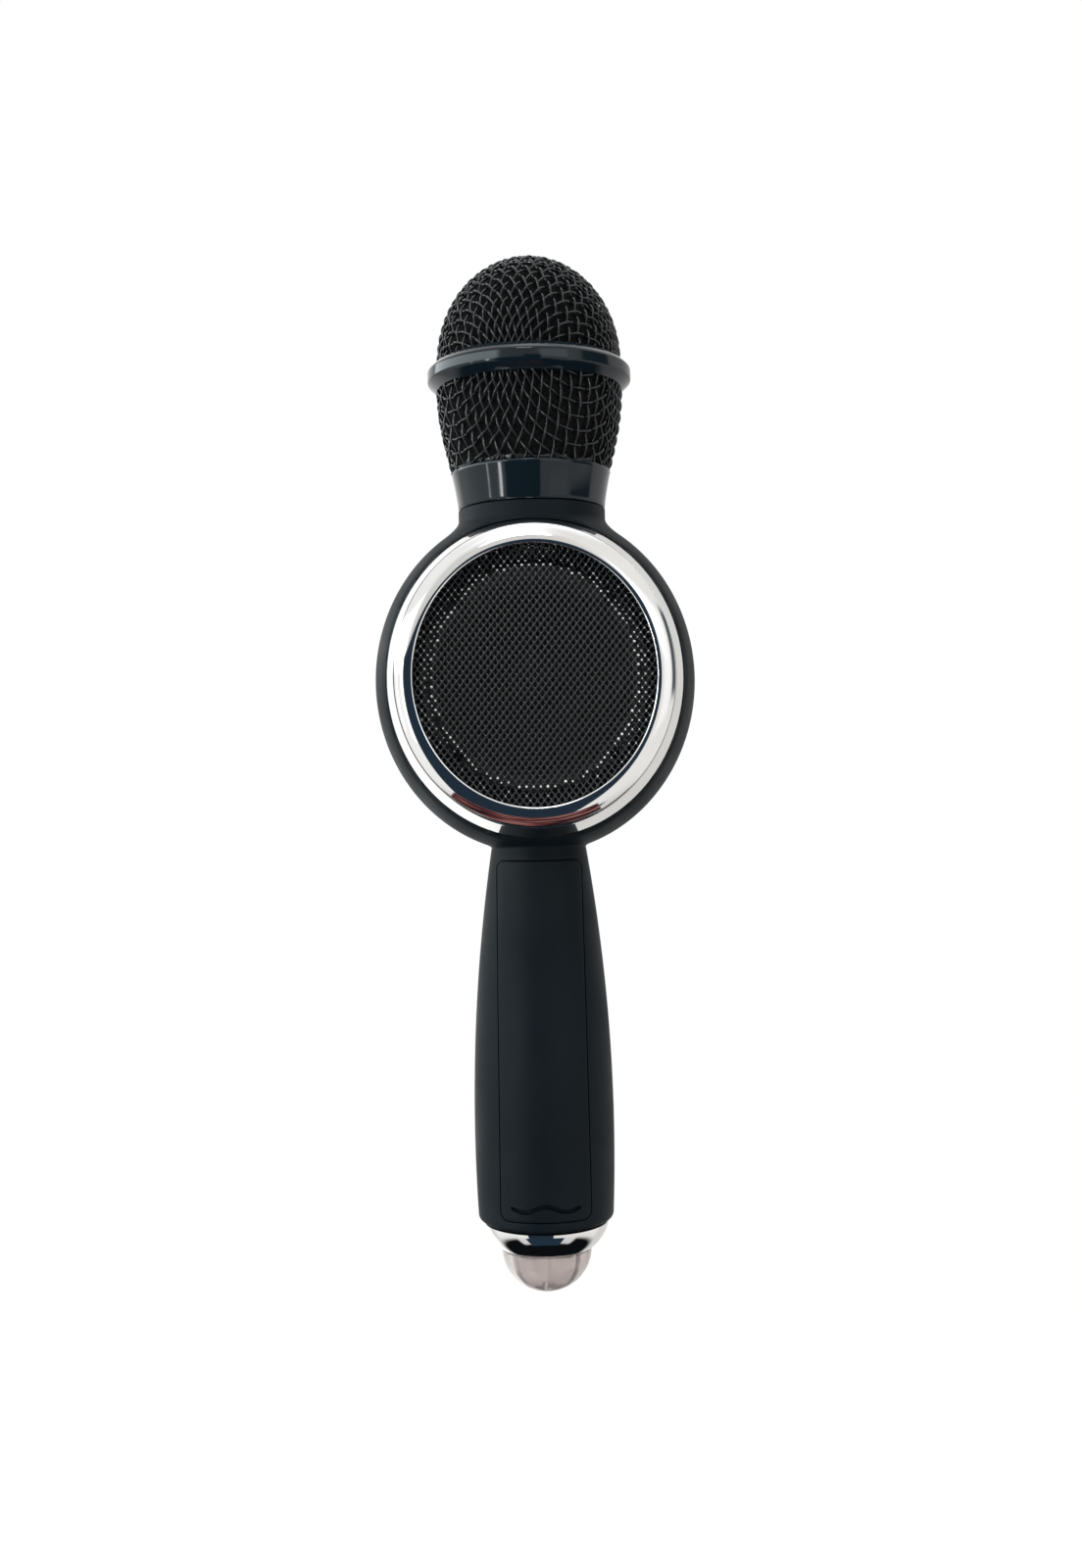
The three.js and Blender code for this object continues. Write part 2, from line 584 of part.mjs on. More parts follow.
/** A button with a flange that the shell holds in, resting clear of its switch. */
function button(z) {
  const { radius, flangeRadius, flange, travel, proud } = BUTTON;
  const bottom = SWITCH.topY + travel + 0.05;
  const wallRadius = handleRadius(z + flangeRadius) - HANDLE.wall;
  const flangeTop = Math.sqrt(wallRadius ** 2 - flangeRadius ** 2) - GAP;
  const top = handleRadius(z) + PANEL.proud + proud;
  const stem = radius / 2;
  return turnedY([
    [0, bottom], [stem, bottom], [stem, flangeTop - flange], [flangeRadius, flangeTop - flange],
    [flangeRadius, flangeTop], [radius, flangeTop], [radius, top - 0.35], [radius - 0.45, top], [0, top],
  ], { z });
}

function tactSwitch(z) {
  const { topY, halfWidth, plungerRadius, plunger } = SWITCH;
  const bodyTop = topY - plunger;
  const body = box([-halfWidth, boardFrontY + GAP, z - halfWidth], [halfWidth, bodyTop, z + halfWidth]);
  return body.add(post(0, z, plungerRadius, bodyTop - 0.2, topY));
}

/** A stepped cap that stands on the panel, on a flat stem through its slot. */
function sliderKnob(x) {
  const { stemWidth, stemHeight, capWidth, capHeight, cap } = SLIDER;
  const innerEdge = Math.max(0, Math.abs(x) - capWidth / 2);
  const capY = Math.sqrt((HANDLE.bellyRadius + PANEL.proud) ** 2 - innerEdge ** 2) + 0.2;
  const capOutline = (trim) => roundedRectangle(x - capWidth / 2 + trim, SLIDER.z - capHeight / 2 + trim,
    x + capWidth / 2 - trim, SLIDER.z + capHeight / 2 - trim, 0.6);
  const lower = slab(capOutline(0), capY, capY + cap - 0.5, 2);
  const upper = slab(capOutline(0.4), capY + 1, capY + cap, 2);
  const stem = box([x - stemWidth / 2, POT.topY + GAP, SLIDER.z - stemHeight / 2],
    [x + stemWidth / 2, capY + 0.2, SLIDER.z + stemHeight / 2]);
  return lower.add(upper).add(stem);
}

function slidePot(x) {
  const { topY, halfWidth, halfHeight, trackHalfWidth, trackHalfHeight } = POT;
  const body = box([x - halfWidth, boardFrontY + GAP, SLIDER.z - halfHeight],
    [x + halfWidth, topY, SLIDER.z + halfHeight]);
  const track = box([x - trackHalfWidth, topY - 1, SLIDER.z - trackHalfHeight],
    [x + trackHalfWidth, topY + 1, SLIDER.z + trackHalfHeight]);
  return body.subtract(track);
}

function mainBoard() {
  return box([-BOARD.halfWidth, BOARD.backY, BOARD.bottomZ], [BOARD.halfWidth, boardFrontY, BOARD.topZ]);
}

function usbOutline(grow) {
  const { z, usbX, usbHalfWidth, usbHalfHeight } = PORTS;
  return roundedRectangle(usbX - usbHalfWidth - grow, z - usbHalfHeight - grow, usbX + usbHalfWidth + grow,
    z + usbHalfHeight + grow, usbHalfHeight + grow - 0.05);
}

function usbPort() {
  const backY = boardFrontY + GAP;
  const { usbX, z, frontY } = PORTS;
  const mouth = slab(usbOutline(-0.45), backY + 1, frontY + 1, 3);
  const shell = slab(usbOutline(0), backY, frontY, 3).subtract(mouth);
  const tongue = box([usbX - 3, backY + 0.5, z - 0.35], [usbX + 3, frontY - 0.8, z + 0.35]);
  return shell.add(tongue);
}

function audioJack() {
  const backY = boardFrontY + GAP;
  const { jackX, jackRadius, jackBore, jackDepth, frontY, z } = PORTS;
  return turnedY([[0, backY], [jackRadius, backY], [jackRadius, frontY], [jackBore, frontY],
    [jackBore, frontY - jackDepth], [0, frontY - jackDepth]], { x: jackX, z });
}

// ---- battery ------------------------------------------------------------------------------

function batteryCell() {
  const { radius, bottomZ, topZ, y } = CELL;
  const shoulderZ = topZ - 0.8;
  return turnedZ([[0, bottomZ], [radius - 0.3, bottomZ], [radius, bottomZ + 0.3], [radius, shoulderZ - 0.3],
    [radius - 0.3, shoulderZ], [3.2, shoulderZ], [3.2, topZ], [0, topZ]], INNER_FACETS).translate([0, y, 0]);
}

/** A half pipe with end walls, and above it the plate that the case screws pass. */
function batteryTray() {
  const { inner, outer, bottomZ, topZ, end, edgeY } = TRAY;
  const { plateHalfWidth, plateTopZ, plateBackY, plateFrontY } = TRAY;
  const disc = (radius, z0, z1) => turnedZ([[0, z0], [radius, z0], [radius, z1], [0, z1]], INNER_FACETS)
    .translate([0, CELL.y, 0]);
  const open = box([-FAR, -FAR, bottomZ], [FAR, CELL.y, topZ]);
  const trimmed = box([-FAR, edgeY, -FAR], [FAR, FAR, FAR]);
  const trough = disc(outer, bottomZ - end, topZ + end).subtract(disc(inner, bottomZ, topZ)).subtract(open);
  const plate = box([-plateHalfWidth, plateBackY, topZ + end / 2], [plateHalfWidth, plateFrontY, plateTopZ]);
  let tray = trough.intersect(trimmed).add(plate);
  for (const x of [-CASE_SCREW.x, CASE_SCREW.x]) {
    tray = tray.subtract(post(x, CASE_SCREW.z, CASE_SCREW.shank + GAP, -FAR, FAR, 12));
  }
  return tray;
}

/** A conical spring, drawn pressed, between the tray's end and the cell. */
function batterySpring() {
  const { wire, turns, wideRadius, narrowRadius, height } = SPRING;
  const steps = 30;
  const points = Array.from({ length: steps + 1 }, (_, i) => {
    const along = i / steps;
    const angle = along * turns * 2 * Math.PI;
    const radius = wideRadius + (narrowRadius - wideRadius) * along;
    const z = TRAY.bottomZ + GAP + wire + along * height;
    return new THREE.Vector3(radius * Math.cos(angle), CELL.y + radius * Math.sin(angle), z);
  });
  const section = new THREE.Shape().absarc(0, 0, wire, 0, 2 * Math.PI);
  const extrudePath = new THREE.CatmullRomCurve3(points);
  return solid(new THREE.ExtrudeGeometry(section, { steps: 32, extrudePath, curveSegments: 3 }));
}

function batteryContact() {
  const half = 4;
  return box([-half, CELL.y - half, CELL.topZ + GAP], [half, CELL.y + half, CELL.topZ + 2 * GAP]);
}

// ---- tail ---------------------------------------------------------------------------------

function tailRing() {
  const topZ = HANDLE.bottomZ - GAP;
  const { topRadius, bottomRadius, bottomZ, bore, ledgeRadius, ledge } = TAIL;
  const { spigotBore, spigotRadius, spigotTopZ } = TAIL;
  const side = new THREE.QuadraticBezierCurve(new THREE.Vector2(topRadius, topZ),
    new THREE.Vector2(topRadius - 0.5, topZ - 3.9), new THREE.Vector2(bottomRadius, bottomZ));
  const shoulderZ = LIGHT.collarTopZ + GAP;
  return turnedZ(closed([
    ...side.getPoints(4).map(({ x, y }) => [x, y]), [bore, bottomZ], [bore, shoulderZ],
    [ledgeRadius, shoulderZ], [ledgeRadius, shoulderZ + ledge],
    [spigotBore, shoulderZ + ledge], [spigotBore, spigotTopZ],
    [spigotRadius, spigotTopZ], [spigotRadius, topZ],
  ]));
}

/** A hollow bowl cut flat at its tip, with a collar that stands inside the tail ring. */
function lightDome() {
  const { radius, reach, tipZ, wall, innerRadius, collarRadius, collarTopZ } = LIGHT;
  const footZ = TAIL.bottomZ - GAP;
  const bowl = (r, height, z1) => {
    const last = Math.asin((footZ - z1) / height);
    return Array.from({ length: 6 }, (_, i) => {
      const angle = (i / 5) * last;
      return [r * Math.cos(angle), footZ - height * Math.sin(angle)];
    });
  };
  const outer = bowl(radius, reach, tipZ);
  const inner = bowl(innerRadius, reach - wall, tipZ + wall);
  return turnedZ([[0, tipZ], ...outer.reverse(), [collarRadius, footZ], [collarRadius, collarTopZ],
    [innerRadius, collarTopZ], ...inner, [0, tipZ + wall]]);
}

function lampBoard() {
  const { boardRadius, boardTopZ, board } = LAMP;
  const bottomZ = boardTopZ - board;
  const outline = [[0, bottomZ], [boardRadius, bottomZ], [boardRadius, boardTopZ], [0, boardTopZ]];
  return turnedZ(outline, INNER_FACETS);
}

function lamp(index) {
  const angle = (2 * Math.PI * index) / LAMP.count + Math.PI / 2;
  const topZ = LAMP.boardTopZ - LAMP.board - GAP;
  const roundZ = topZ - LAMP.length + LAMP.radius;
  const tip = quarter(LAMP.radius, roundZ, topZ - LAMP.length, 2);
  const foot = LAMP.radius + 0.3;
  const outline = [...tip.reverse(), [LAMP.radius, topZ - 1], [foot, topZ - 1], [foot, topZ], [0, topZ]];
  const place = [LAMP.ring * Math.cos(angle), LAMP.ring * Math.sin(angle), 0];
  return turnedZ(outline, SMALL_FACETS).translate(place);
}

// ---- the assembly -------------------------------------------------------------------------

const microphone = new THREE.Group();

function add(name, body, material) {
  const mesh = new THREE.Mesh(geometryOf(body), new THREE.MeshStandardMaterial(material));
  mesh.name = name;
  microphone.add(mesh);
}

add('rear_shell', rearShell(), SOFT_BLACK);
add('front_shell', frontShell(), SOFT_BLACK);
add('battery_cover', batteryCover(), SOFT_BLACK);

add('rear_bezel_ring', bezelRing(-1), CHROME);
add('front_bezel_ring', bezelRing(1), CHROME);
add('rear_grille', grille(-1), BLACK_WIRE);
add('front_grille', grille(1), BLACK_WIRE);
add('speaker_frame', speakerFrame(), DARK_PLASTIC);
add('speaker_cone', speakerCone(), PAPER_CONE);
add('speaker_dust_cap', dustCap(), PAPER_CONE);
add('speaker_magnet', speakerMagnet(), STEEL);
add('passive_radiator', passiveRadiator(), DARK_PLASTIC);
speakerScrewPlaces.forEach(({ x, z }, index) => {
  const headY = -DISC.halfDepth - 2 * GAP - SPEAKER.flange - SPEAKER_SCREW.head;
  add(`speaker_screw_${index + 1}`, screw(x, z, headY, 1, SPEAKER_SCREW), STEEL);
});

add('head_basket', headBasket(), BLACK_WIRE);
add('head_dome', headDome(), BLACK_WIRE);
add('head_band', headBand(), GLOSS_BLACK);
add('head_base_ring', headBaseRing(), STEEL);
add('head_foam', headFoam(), FOAM_BLACK);
add('head_collar', headCollar(), GLOSS_BLACK);
add('capsule_holder', capsuleHolder(), DARK_PLASTIC);
add('mic_capsule', micCapsule(), STEEL);

add('control_panel', controlPanel(), GLOSS_BLACK);
add('main_board', mainBoard(), BOARD_GREEN);
for (const [name, z] of Object.entries(BUTTONS)) {
  add(name, button(z), CHROME);
  add(name.replace('button', 'switch'), tactSwitch(z), DARK_PLASTIC);
}
for (const [name, x] of Object.entries(SLIDERS)) {
  add(name, sliderKnob(x), CHROME);
  add(name.replace('slider', 'pot'), slidePot(x), STEEL);
}
add('usb_port', usbPort(), STEEL);
add('audio_jack', audioJack(), DARK_PLASTIC);

add('battery_cell', batteryCell(), CELL_SLEEVE);
add('battery_tray', batteryTray(), DARK_PLASTIC);
add('battery_spring', batterySpring(), STEEL);
add('battery_contact', batteryContact(), STEEL);
[-1, 1].forEach((side, index) => {
  const headY = TRAY.plateBackY - GAP - CASE_SCREW.head;
  add(`case_screw_${index + 1}`, screw(side * CASE_SCREW.x, CASE_SCREW.z, headY, 1, CASE_SCREW), STEEL);
});

add('tail_ring', tailRing(), CHROME);
add('light_dome', lightDome(), CLEAR_PLASTIC);
add('lamp_board', lampBoard(), BOARD_GREEN);
for (let index = 0; index < LAMP.count; index += 1) add(`lamp_${index + 1}`, lamp(index), LAMP_WHITE);

export default microphone;
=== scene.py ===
import math

import bpy
import numpy as np
from mathutils import Matrix, Vector
from mathutils.geometry import delaunay_2d_cdt


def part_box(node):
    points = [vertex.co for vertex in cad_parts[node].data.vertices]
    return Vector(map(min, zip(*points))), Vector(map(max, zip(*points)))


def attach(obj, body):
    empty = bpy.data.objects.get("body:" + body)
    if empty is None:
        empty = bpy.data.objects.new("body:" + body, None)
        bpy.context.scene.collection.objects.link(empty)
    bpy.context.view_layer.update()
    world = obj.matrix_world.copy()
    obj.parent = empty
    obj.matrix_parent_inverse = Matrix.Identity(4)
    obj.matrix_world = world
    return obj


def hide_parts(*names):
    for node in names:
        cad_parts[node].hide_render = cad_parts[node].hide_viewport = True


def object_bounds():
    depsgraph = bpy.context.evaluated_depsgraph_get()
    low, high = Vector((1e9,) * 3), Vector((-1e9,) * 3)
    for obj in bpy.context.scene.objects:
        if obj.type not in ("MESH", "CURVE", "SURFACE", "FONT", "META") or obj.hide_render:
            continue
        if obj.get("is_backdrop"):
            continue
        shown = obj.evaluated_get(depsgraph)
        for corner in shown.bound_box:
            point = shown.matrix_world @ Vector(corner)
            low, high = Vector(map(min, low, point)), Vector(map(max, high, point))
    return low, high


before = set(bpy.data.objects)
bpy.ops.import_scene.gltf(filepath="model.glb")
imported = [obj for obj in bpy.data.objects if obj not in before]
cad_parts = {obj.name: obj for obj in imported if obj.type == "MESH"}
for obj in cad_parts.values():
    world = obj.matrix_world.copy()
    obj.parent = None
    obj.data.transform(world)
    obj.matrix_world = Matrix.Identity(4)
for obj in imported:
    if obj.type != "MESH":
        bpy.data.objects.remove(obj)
cad_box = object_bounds()

MM = 0.001
GAP = 0.3 * MM
BODY = "casing"


def low(node):
    return np.array(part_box(node)[0])


def high(node):
    return np.array(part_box(node)[1])


# ---- sizes read from the frame --------------------------------------------------------------

DISC_Z = (low("rear_bezel_ring")[2] + high("rear_bezel_ring")[2]) / 2
RING_RADIUS = high("rear_bezel_ring")[0]
OVAL = (high("rear_bezel_ring")[2] - DISC_Z) / RING_RADIUS
RING_BASE = low("front_bezel_ring")[1]
CREST = high("front_bezel_ring")[1]
CREST_RADIUS = 29.5 * MM
LIP_RADIUS = 28.9 * MM
CREASE_RADIUS = RING_RADIUS - 2.5 * MM
CREASE_DEPTH = CREST - 1.8 * MM

DISC_RADIUS = round(high("rear_shell")[0], 4)
DISC_HALF_DEPTH = RING_BASE - GAP
DISC_EDGE_RADIUS = RING_RADIUS + GAP
WALL = 2.2 * MM
SPEAKER_HOLE_RADIUS = 24.6 * MM

NECK_RADIUS = high("front_shell")[1]
SPIGOT_TOP = high("rear_shell")[2]
SPIGOT_RADIUS = 16 * MM
COLLAR_LOW, COLLAR_HIGH = low("head_collar")[2], low("head_basket")[2] - GAP
NECK_TOP = COLLAR_LOW - GAP
HANDLE_LOW = low("rear_shell")[2]
HANDLE_HIGH = DISC_Z - DISC_RADIUS * OVAL
HANDLE_ROUND = 1.3 * MM
BELLY_Z = -26 * MM
BELLY_RADIUS = 17.5 * MM
THROAT_RADIUS = 12.1 * MM
FACING = {"rear": -1, "front": 1}

BAND_LOW, BAND_HIGH = low("head_band")[2], high("head_band")[2]
BAND_RADIUS = high("head_band")[1]
BASKET_RADIUS = high("head_basket")[1]
BASKET_FOOT_RADIUS = 20 * MM
DOME_RADIUS = high("head_dome")[1]
DOME_HIGH = high("head_dome")[2]
COLLAR_RADIUS = high("head_collar")[1]

TAIL_TOP = HANDLE_LOW - GAP
TAIL_LOW = low("tail_ring")[2]
TIP_Z = low("light_dome")[2]
LIGHT_RADIUS = high("light_dome")[1]


def handle_radius(z):
    """The handle swells to its belly and narrows as a parabola towards the disc."""
    reach = (z - BELLY_Z) / (HANDLE_HIGH - BELLY_Z)
    return BELLY_RADIUS - (BELLY_RADIUS - THROAT_RADIUS) * reach**2


# ---- meshes ---------------------------------------------------------------------------------


def new_object(name, verts, faces, sharp_degrees=40):
    """A mesh object in the row frame, faces turned out, smooth except where it bends sharply."""
    mesh = bpy.data.meshes.new(name)
    mesh.from_pydata([tuple(v) for v in np.asarray(verts, float)], [], [tuple(f) for f in faces])
    mesh.validate()
    if signed_volume(mesh) < 0:
        mesh.flip_normals()
    piece = bpy.data.objects.new(name, mesh)
    bpy.context.scene.collection.objects.link(piece)
    soften_shading(piece, sharp_degrees)
    return piece


def soften_shading(piece, sharp_degrees=40):
    piece.data.shade_smooth()
    piece.data.set_sharp_from_angle(angle=math.radians(sharp_degrees))


def read_points(mesh):
    points = np.zeros(len(mesh.vertices) * 3)
    mesh.vertices.foreach_get("co", points)
    return points.reshape(-1, 3)


def signed_volume(mesh):
    mesh.calc_loop_triangles()
    points = read_points(mesh)
    corners = np.zeros(len(mesh.loop_triangles) * 3, int)
    mesh.loop_triangles.foreach_get("vertices", corners)
    a, b, c = (points[corners.reshape(-1, 3)[:, k]] for k in range(3))
    return float(np.einsum("ij,ij->", a, np.cross(b, c)))


def softened(corners, radius, steps=3, closed=True):
    """A profile whose corners are rounded off with short curves of about that radius."""
    corners = [np.array(c, float) for c in corners]
    count = len(corners)
    points = []
    for i, corner in enumerate(corners):
        if not closed and i in (0, count - 1):
            points.append(corner)
            continue
        before = corners[i - 1] - corner
        after = corners[(i + 1) % count] - corner
        cut = min(radius, 0.45 * np.linalg.norm(before), 0.45 * np.linalg.norm(after))
        start = corner + before / np.linalg.norm(before) * cut
        end = corner + after / np.linalg.norm(after) * cut
        for k in range(steps + 1):
            t = k / steps
            points.append((1 - t) ** 2 * start + 2 * t * (1 - t) * corner + t**2 * end)
    return np.array(points)


def bands(count, steps, wrap=False):
    """Quads between closed rings of points, each ring joined to the next (and the last to the first)."""
    faces = []
    for i in range(count if wrap else count - 1):
        a, b = i * steps, (i + 1) % count * steps
        faces += [(a + k, a + (k + 1) % steps, b + (k + 1) % steps, b + k) for k in range(steps)]
    return faces


def loft(count, steps):
    """Faces of a solid that runs through closed rings of points, with a cap at each end."""
    last = (count - 1) * steps
    caps = [tuple(reversed(range(steps))), tuple(last + k for k in range(steps))]
    return bands(count, steps) + caps


def turn(name, profile, axis="Z", side=1, oval=1.0, centre=(0, 0, 0), steps=128, closed=True, sharp=40):
    """A solid of revolution from (radius, height) pairs: a closed loop, or a line from axis to axis."""
    profile = np.asarray(profile, float)
    angles = np.linspace(0, 2 * math.pi, steps, endpoint=False)
    rows = profile if closed else profile[1:-1]
    radius, height = rows[:, 0][:, None], rows[:, 1][:, None]
    across, up = radius * np.cos(angles), radius * np.sin(angles)
    level = np.broadcast_to(height, across.shape)
    place = placer(axis, side, oval, centre)
    verts = place(across, up, level).reshape(-1, 3)
    faces = bands(len(rows), steps, wrap=closed)
    if not closed:
        poles = [place(np.zeros(1), np.zeros(1), np.array([h]))[0] for h in (profile[0, 1], profile[-1, 1])]
        verts = np.vstack([verts, poles])
        first, last, end = len(verts) - 2, len(verts) - 1, (len(rows) - 1) * steps
        faces += [(first, (k + 1) % steps, k) for k in range(steps)]
        faces += [(last, end + k, end + (k + 1) % steps) for k in range(steps)]
    return new_object(name, verts, faces, sharp)


def placer(axis, side=1, oval=1.0, centre=(0, 0, 0)):
    """Puts turned points in the row frame: about Z, or about Y with heights towards side."""

    def place(across, up, level):
        if axis == "Z":
            return np.stack([across, up, level], -1) + centre
        return np.stack([across, side * level, oval * up], -1) + centre

    return place


def disc_turn(name, profile, side, **options):
    """A turned, oval part of the disc, with depths towards side."""
    return turn(name, profile, axis="Y", side=side, oval=OVAL, centre=(0, 0, DISC_Z), **options)


def box_solid(name, corner_a, corner_b):
    (x0, y0, z0), (x1, y1, z1) = corner_a, corner_b
    verts = [(x, y, z) for x in (x0, x1) for y in (y0, y1) for z in (z0, z1)]
    faces = [(0, 1, 3, 2), (4, 6, 7, 5), (0, 4, 5, 1), (2, 3, 7, 6), (0, 2, 6, 4), (1, 5, 7, 3)]
    return new_object(name, verts, faces)


def boolean(target, cutter, operation="DIFFERENCE"):
    """Cuts or joins target with cutter, which is used up."""
    modifier = target.modifiers.new("boolean", "BOOLEAN")
    modifier.operation = operation
    modifier.solver = "MANIFOLD"
    modifier.object = cutter
    bpy.context.view_layer.update()
    evaluated = target.evaluated_get(bpy.context.evaluated_depsgraph_get())
    mesh = bpy.data.meshes.new_from_object(evaluated)
    target.modifiers.clear()
    old = target.data
    target.data = mesh
    bpy.data.meshes.remove(old)
    bpy.data.objects.remove(cutter)
    return target


def prism(name, outline, y0, y1):
    """An outline in x and z, extruded from y0 to y1."""
    verts = [(x, y, z) for y in (y0, y1) for x, z in outline]
    return new_object(name, verts, loft(2, len(outline)))


def thick_sheet(name, flat, faces, front, back, sharp=40):
    """A solid between two surfaces over the same flat (x, z) mesh; open edges become walls."""
    count = len(flat)
    verts = np.vstack([np.column_stack([flat[:, 0], front, flat[:, 1]]),
                       np.column_stack([flat[:, 0], back, flat[:, 1]])])
    used = {}
    for face in faces:
        for a, b in zip(face, face[1:] + face[:1]):
            used[(a, b)] = used.get((a, b), 0) + 1
    walls = [(b, a, a + count, b + count) for a, b in used if (b, a) not in used]
    backs = [tuple(count + i for i in reversed(face)) for face in faces]
    return new_object(name, verts, list(faces) + backs + walls, sharp)


def inset_outline(outline, distance):
    """A closed outline (counter-clockwise) moved inwards along its corner normals."""
    points = np.asarray(outline, float)
    tangent = np.roll(points, -1, 0) - np.roll(points, 1, 0)
    tangent /= np.linalg.norm(tangent, axis=1)[:, None]
    inward = np.column_stack([-tangent[:, 1], tangent[:, 0]])
    return points + inward * distance


def inside(points, outline):
    """Which points lie inside a closed outline."""
    x, y = points[:, 0], points[:, 1]
    result = np.zeros(len(points), bool)
    for (x0, y0), (x1, y1) in zip(outline, np.roll(outline, -1, 0)):
        crosses = (y0 > y) != (y1 > y)
        with np.errstate(divide="ignore", invalid="ignore"):
            result ^= crosses & (x < (x1 - x0) * (y - y0) / (y1 - y0) + x0)
    return result


EDGE = 0.2 * MM
EDGE_RINGS = (0.0, 0.08, 0.3, 1.0)


def flat_mesh(outline, holes, inner_points):
    """Triangles over an outline with holes, with rings close to each edge so that it can be rounded."""
    rings = [inset_outline(outline, EDGE * k) for k in EDGE_RINGS]
    for hole in holes:
        rings += [inset_outline(hole, -EDGE * k) for k in EDGE_RINGS]
    keep = inside(inner_points, inset_outline(outline, 1.3 * EDGE))
    for hole in holes:
        keep &= ~inside(inner_points, inset_outline(hole, -1.3 * EDGE))
    points, edges, depth = [], [], []
    for index, ring in enumerate(rings):
        start = len(points)
        points += [Vector(p) for p in ring]
        depth += [EDGE_RINGS[index % len(EDGE_RINGS)]] * len(ring)
        edges += [(start + i, start + (i + 1) % len(ring)) for i in range(len(ring))]
    points += [Vector(p) for p in inner_points[keep]]
    verts, _, faces, origin, _, _ = delaunay_2d_cdt(points, edges, [], 0, 1e-9)
    flat = np.array([tuple(v) for v in verts])
    fraction = np.array([depth[o[0]] if o and o[0] < len(depth) else 1.0 for o in origin])
    centres = np.array([flat[list(f)].mean(0) for f in faces])
    good = inside(centres, np.asarray(outline))
    for hole in holes:
        good &= ~inside(centres, np.asarray(hole))
    used = [tuple(f) for f, ok in zip(faces, good) if ok]
    drop = EDGE * (1 - np.sqrt(np.clip(1 - (1 - fraction) ** 2, 0, 1)))
    return flat, used, drop


def grid_points(x0, x1, z0, z1, step_x, step_z):
    xs = np.arange(x0, x1 + step_x / 2, step_x)
    zs = np.arange(z0, z1 + step_z / 2, step_z)
    return np.array([(x, z) for z in zs for x in xs])


def arc(centre, radius, start, end, steps):
    """Points of an arc in x and z, angles in degrees."""
    angles = np.radians(np.linspace(start, end, steps + 1))
    return [(centre[0] + radius * math.cos(a), centre[1] + radius * math.sin(a)) for a in angles]


def rounded_rectangle(x0, z0, x1, z1, radius, spacing=2 * MM):
    """A counter-clockwise outline with rounded corners and points along its sides."""
    corners = [(x1 - radius, z0 + radius, -90), (x1 - radius, z1 - radius, 0),
               (x0 + radius, z1 - radius, 90), (x0 + radius, z0 + radius, 180)]
    points = []
    for x, z, start in corners:
        points += arc((x, z), radius, start, start + 90, 6)
    return spaced(points, spacing)


def spaced(points, spacing):
    """Adds points to the long sides of a closed outline."""
    result = []
    for a, b in zip(points, points[1:] + points[:1]):
        a, b = np.array(a), np.array(b)
        length = np.linalg.norm(b - a)
        if length < 1e-9:
            continue
        parts = max(1, int(length / spacing))
        result += [a + (b - a) * k / parts for k in range(parts)]
    return np.array(result)


def circle(centre, radius, steps=32):
    return np.array(arc(centre, radius, 0, 360 * (1 - 1 / steps), steps - 1))


def finish_piece(piece, material, replaced, body=BODY):
    """Gives a piece its material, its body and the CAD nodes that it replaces."""
    piece.data.materials.clear()
    piece.data.materials.append(material)
    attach(piece, body)
    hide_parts(*replaced)
    return piece


# ---- materials ------------------------------------------------------------------------------


class Graph:
    """A node tree, with short ways to add the kinds of node that the looks are made of."""

    def __init__(self, tree):
        self.tree = tree

    def fill(self, node, sockets):
        """Gives sockets, by name or number, their values or links."""
        for key, value in sockets.items():
            if isinstance(value, bpy.types.NodeSocket):
                self.tree.links.new(value, node.inputs[key])
            else:
                node.inputs[key].default_value = value

    def add(self, kind, sockets, **settings):
        node = self.tree.nodes.new("ShaderNode" + kind)
        for name, value in settings.items():
            setattr(node, name, value)
        self.fill(node, sockets)
        return node

    def calculate(self, operation, *values):
        return self.add("Math", dict(enumerate(values)), operation=operation).outputs["Value"]

    def remap(self, value, source, target, interpolation="LINEAR"):
        """Maps a value from one range to another and holds it beyond the ends."""
        limits = zip(("From Min", "From Max", "To Min", "To Max"), (*source, *target))
        node = self.add("MapRange", {"Value": value, **dict(limits)}, interpolation_type=interpolation)
        return node.outputs["Result"]

    def smooth_step(self, value, start, end):
        """0 before start and 1 after end, or the other way round where start is larger."""
        target = (0, 1) if start < end else (1, 0)
        return self.remap(value, sorted((start, end)), target, "SMOOTHSTEP")

    def mix(self, share, under, over):
        """A colour laid over another, each a socket or four numbers."""
        return self.add("Mix", {0: share, 6: under, 7: over}, data_type="RGBA").outputs[2]


class Look(Graph):
    """The node tree of a new material, with its shader and its object coordinates at hand."""

    def __init__(self, name):
        self.material = bpy.data.materials.new(name)
        self.material.use_nodes = True
        super().__init__(self.material.node_tree)
        self.shader = self.tree.nodes["Principled BSDF"]
        self.place = self.add("TexCoord", {}).outputs["Object"]

    def noise(self, scale, detail=3.0, place=None):
        place = self.place if place is None else place
        return self.add("TexNoise", {"Vector": place, "Scale": scale, "Detail": detail}).outputs["Fac"]

    def ramp(self, value, *stops):
        """A colour ramp: stops are (position, colour)."""
        node = self.add("ValToRGB", {"Fac": value})
        elements = node.color_ramp.elements
        while len(elements) < len(stops):
            elements.new(0.5)
        for element, (position, colour) in zip(elements, stops):
            element.position = position
            element.color = (*colour, 1)
        return node.outputs["Color"]

    def spread(self, value, target):
        """Maps the middle of a noise's range to a target range."""
        return self.remap(value, (0.3, 0.7), target)

    def bump(self, height, strength, distance):
        node = self.add("Bump", {"Height": height, "Strength": strength, "Distance": distance})
        self.fill(self.shader, {"Normal": node.outputs["Normal"]})

    def show(self, node):
        """Makes another shader than the first the one that is seen."""
        self.fill(self.tree.nodes["Material Output"], {"Surface": node.outputs[0]})


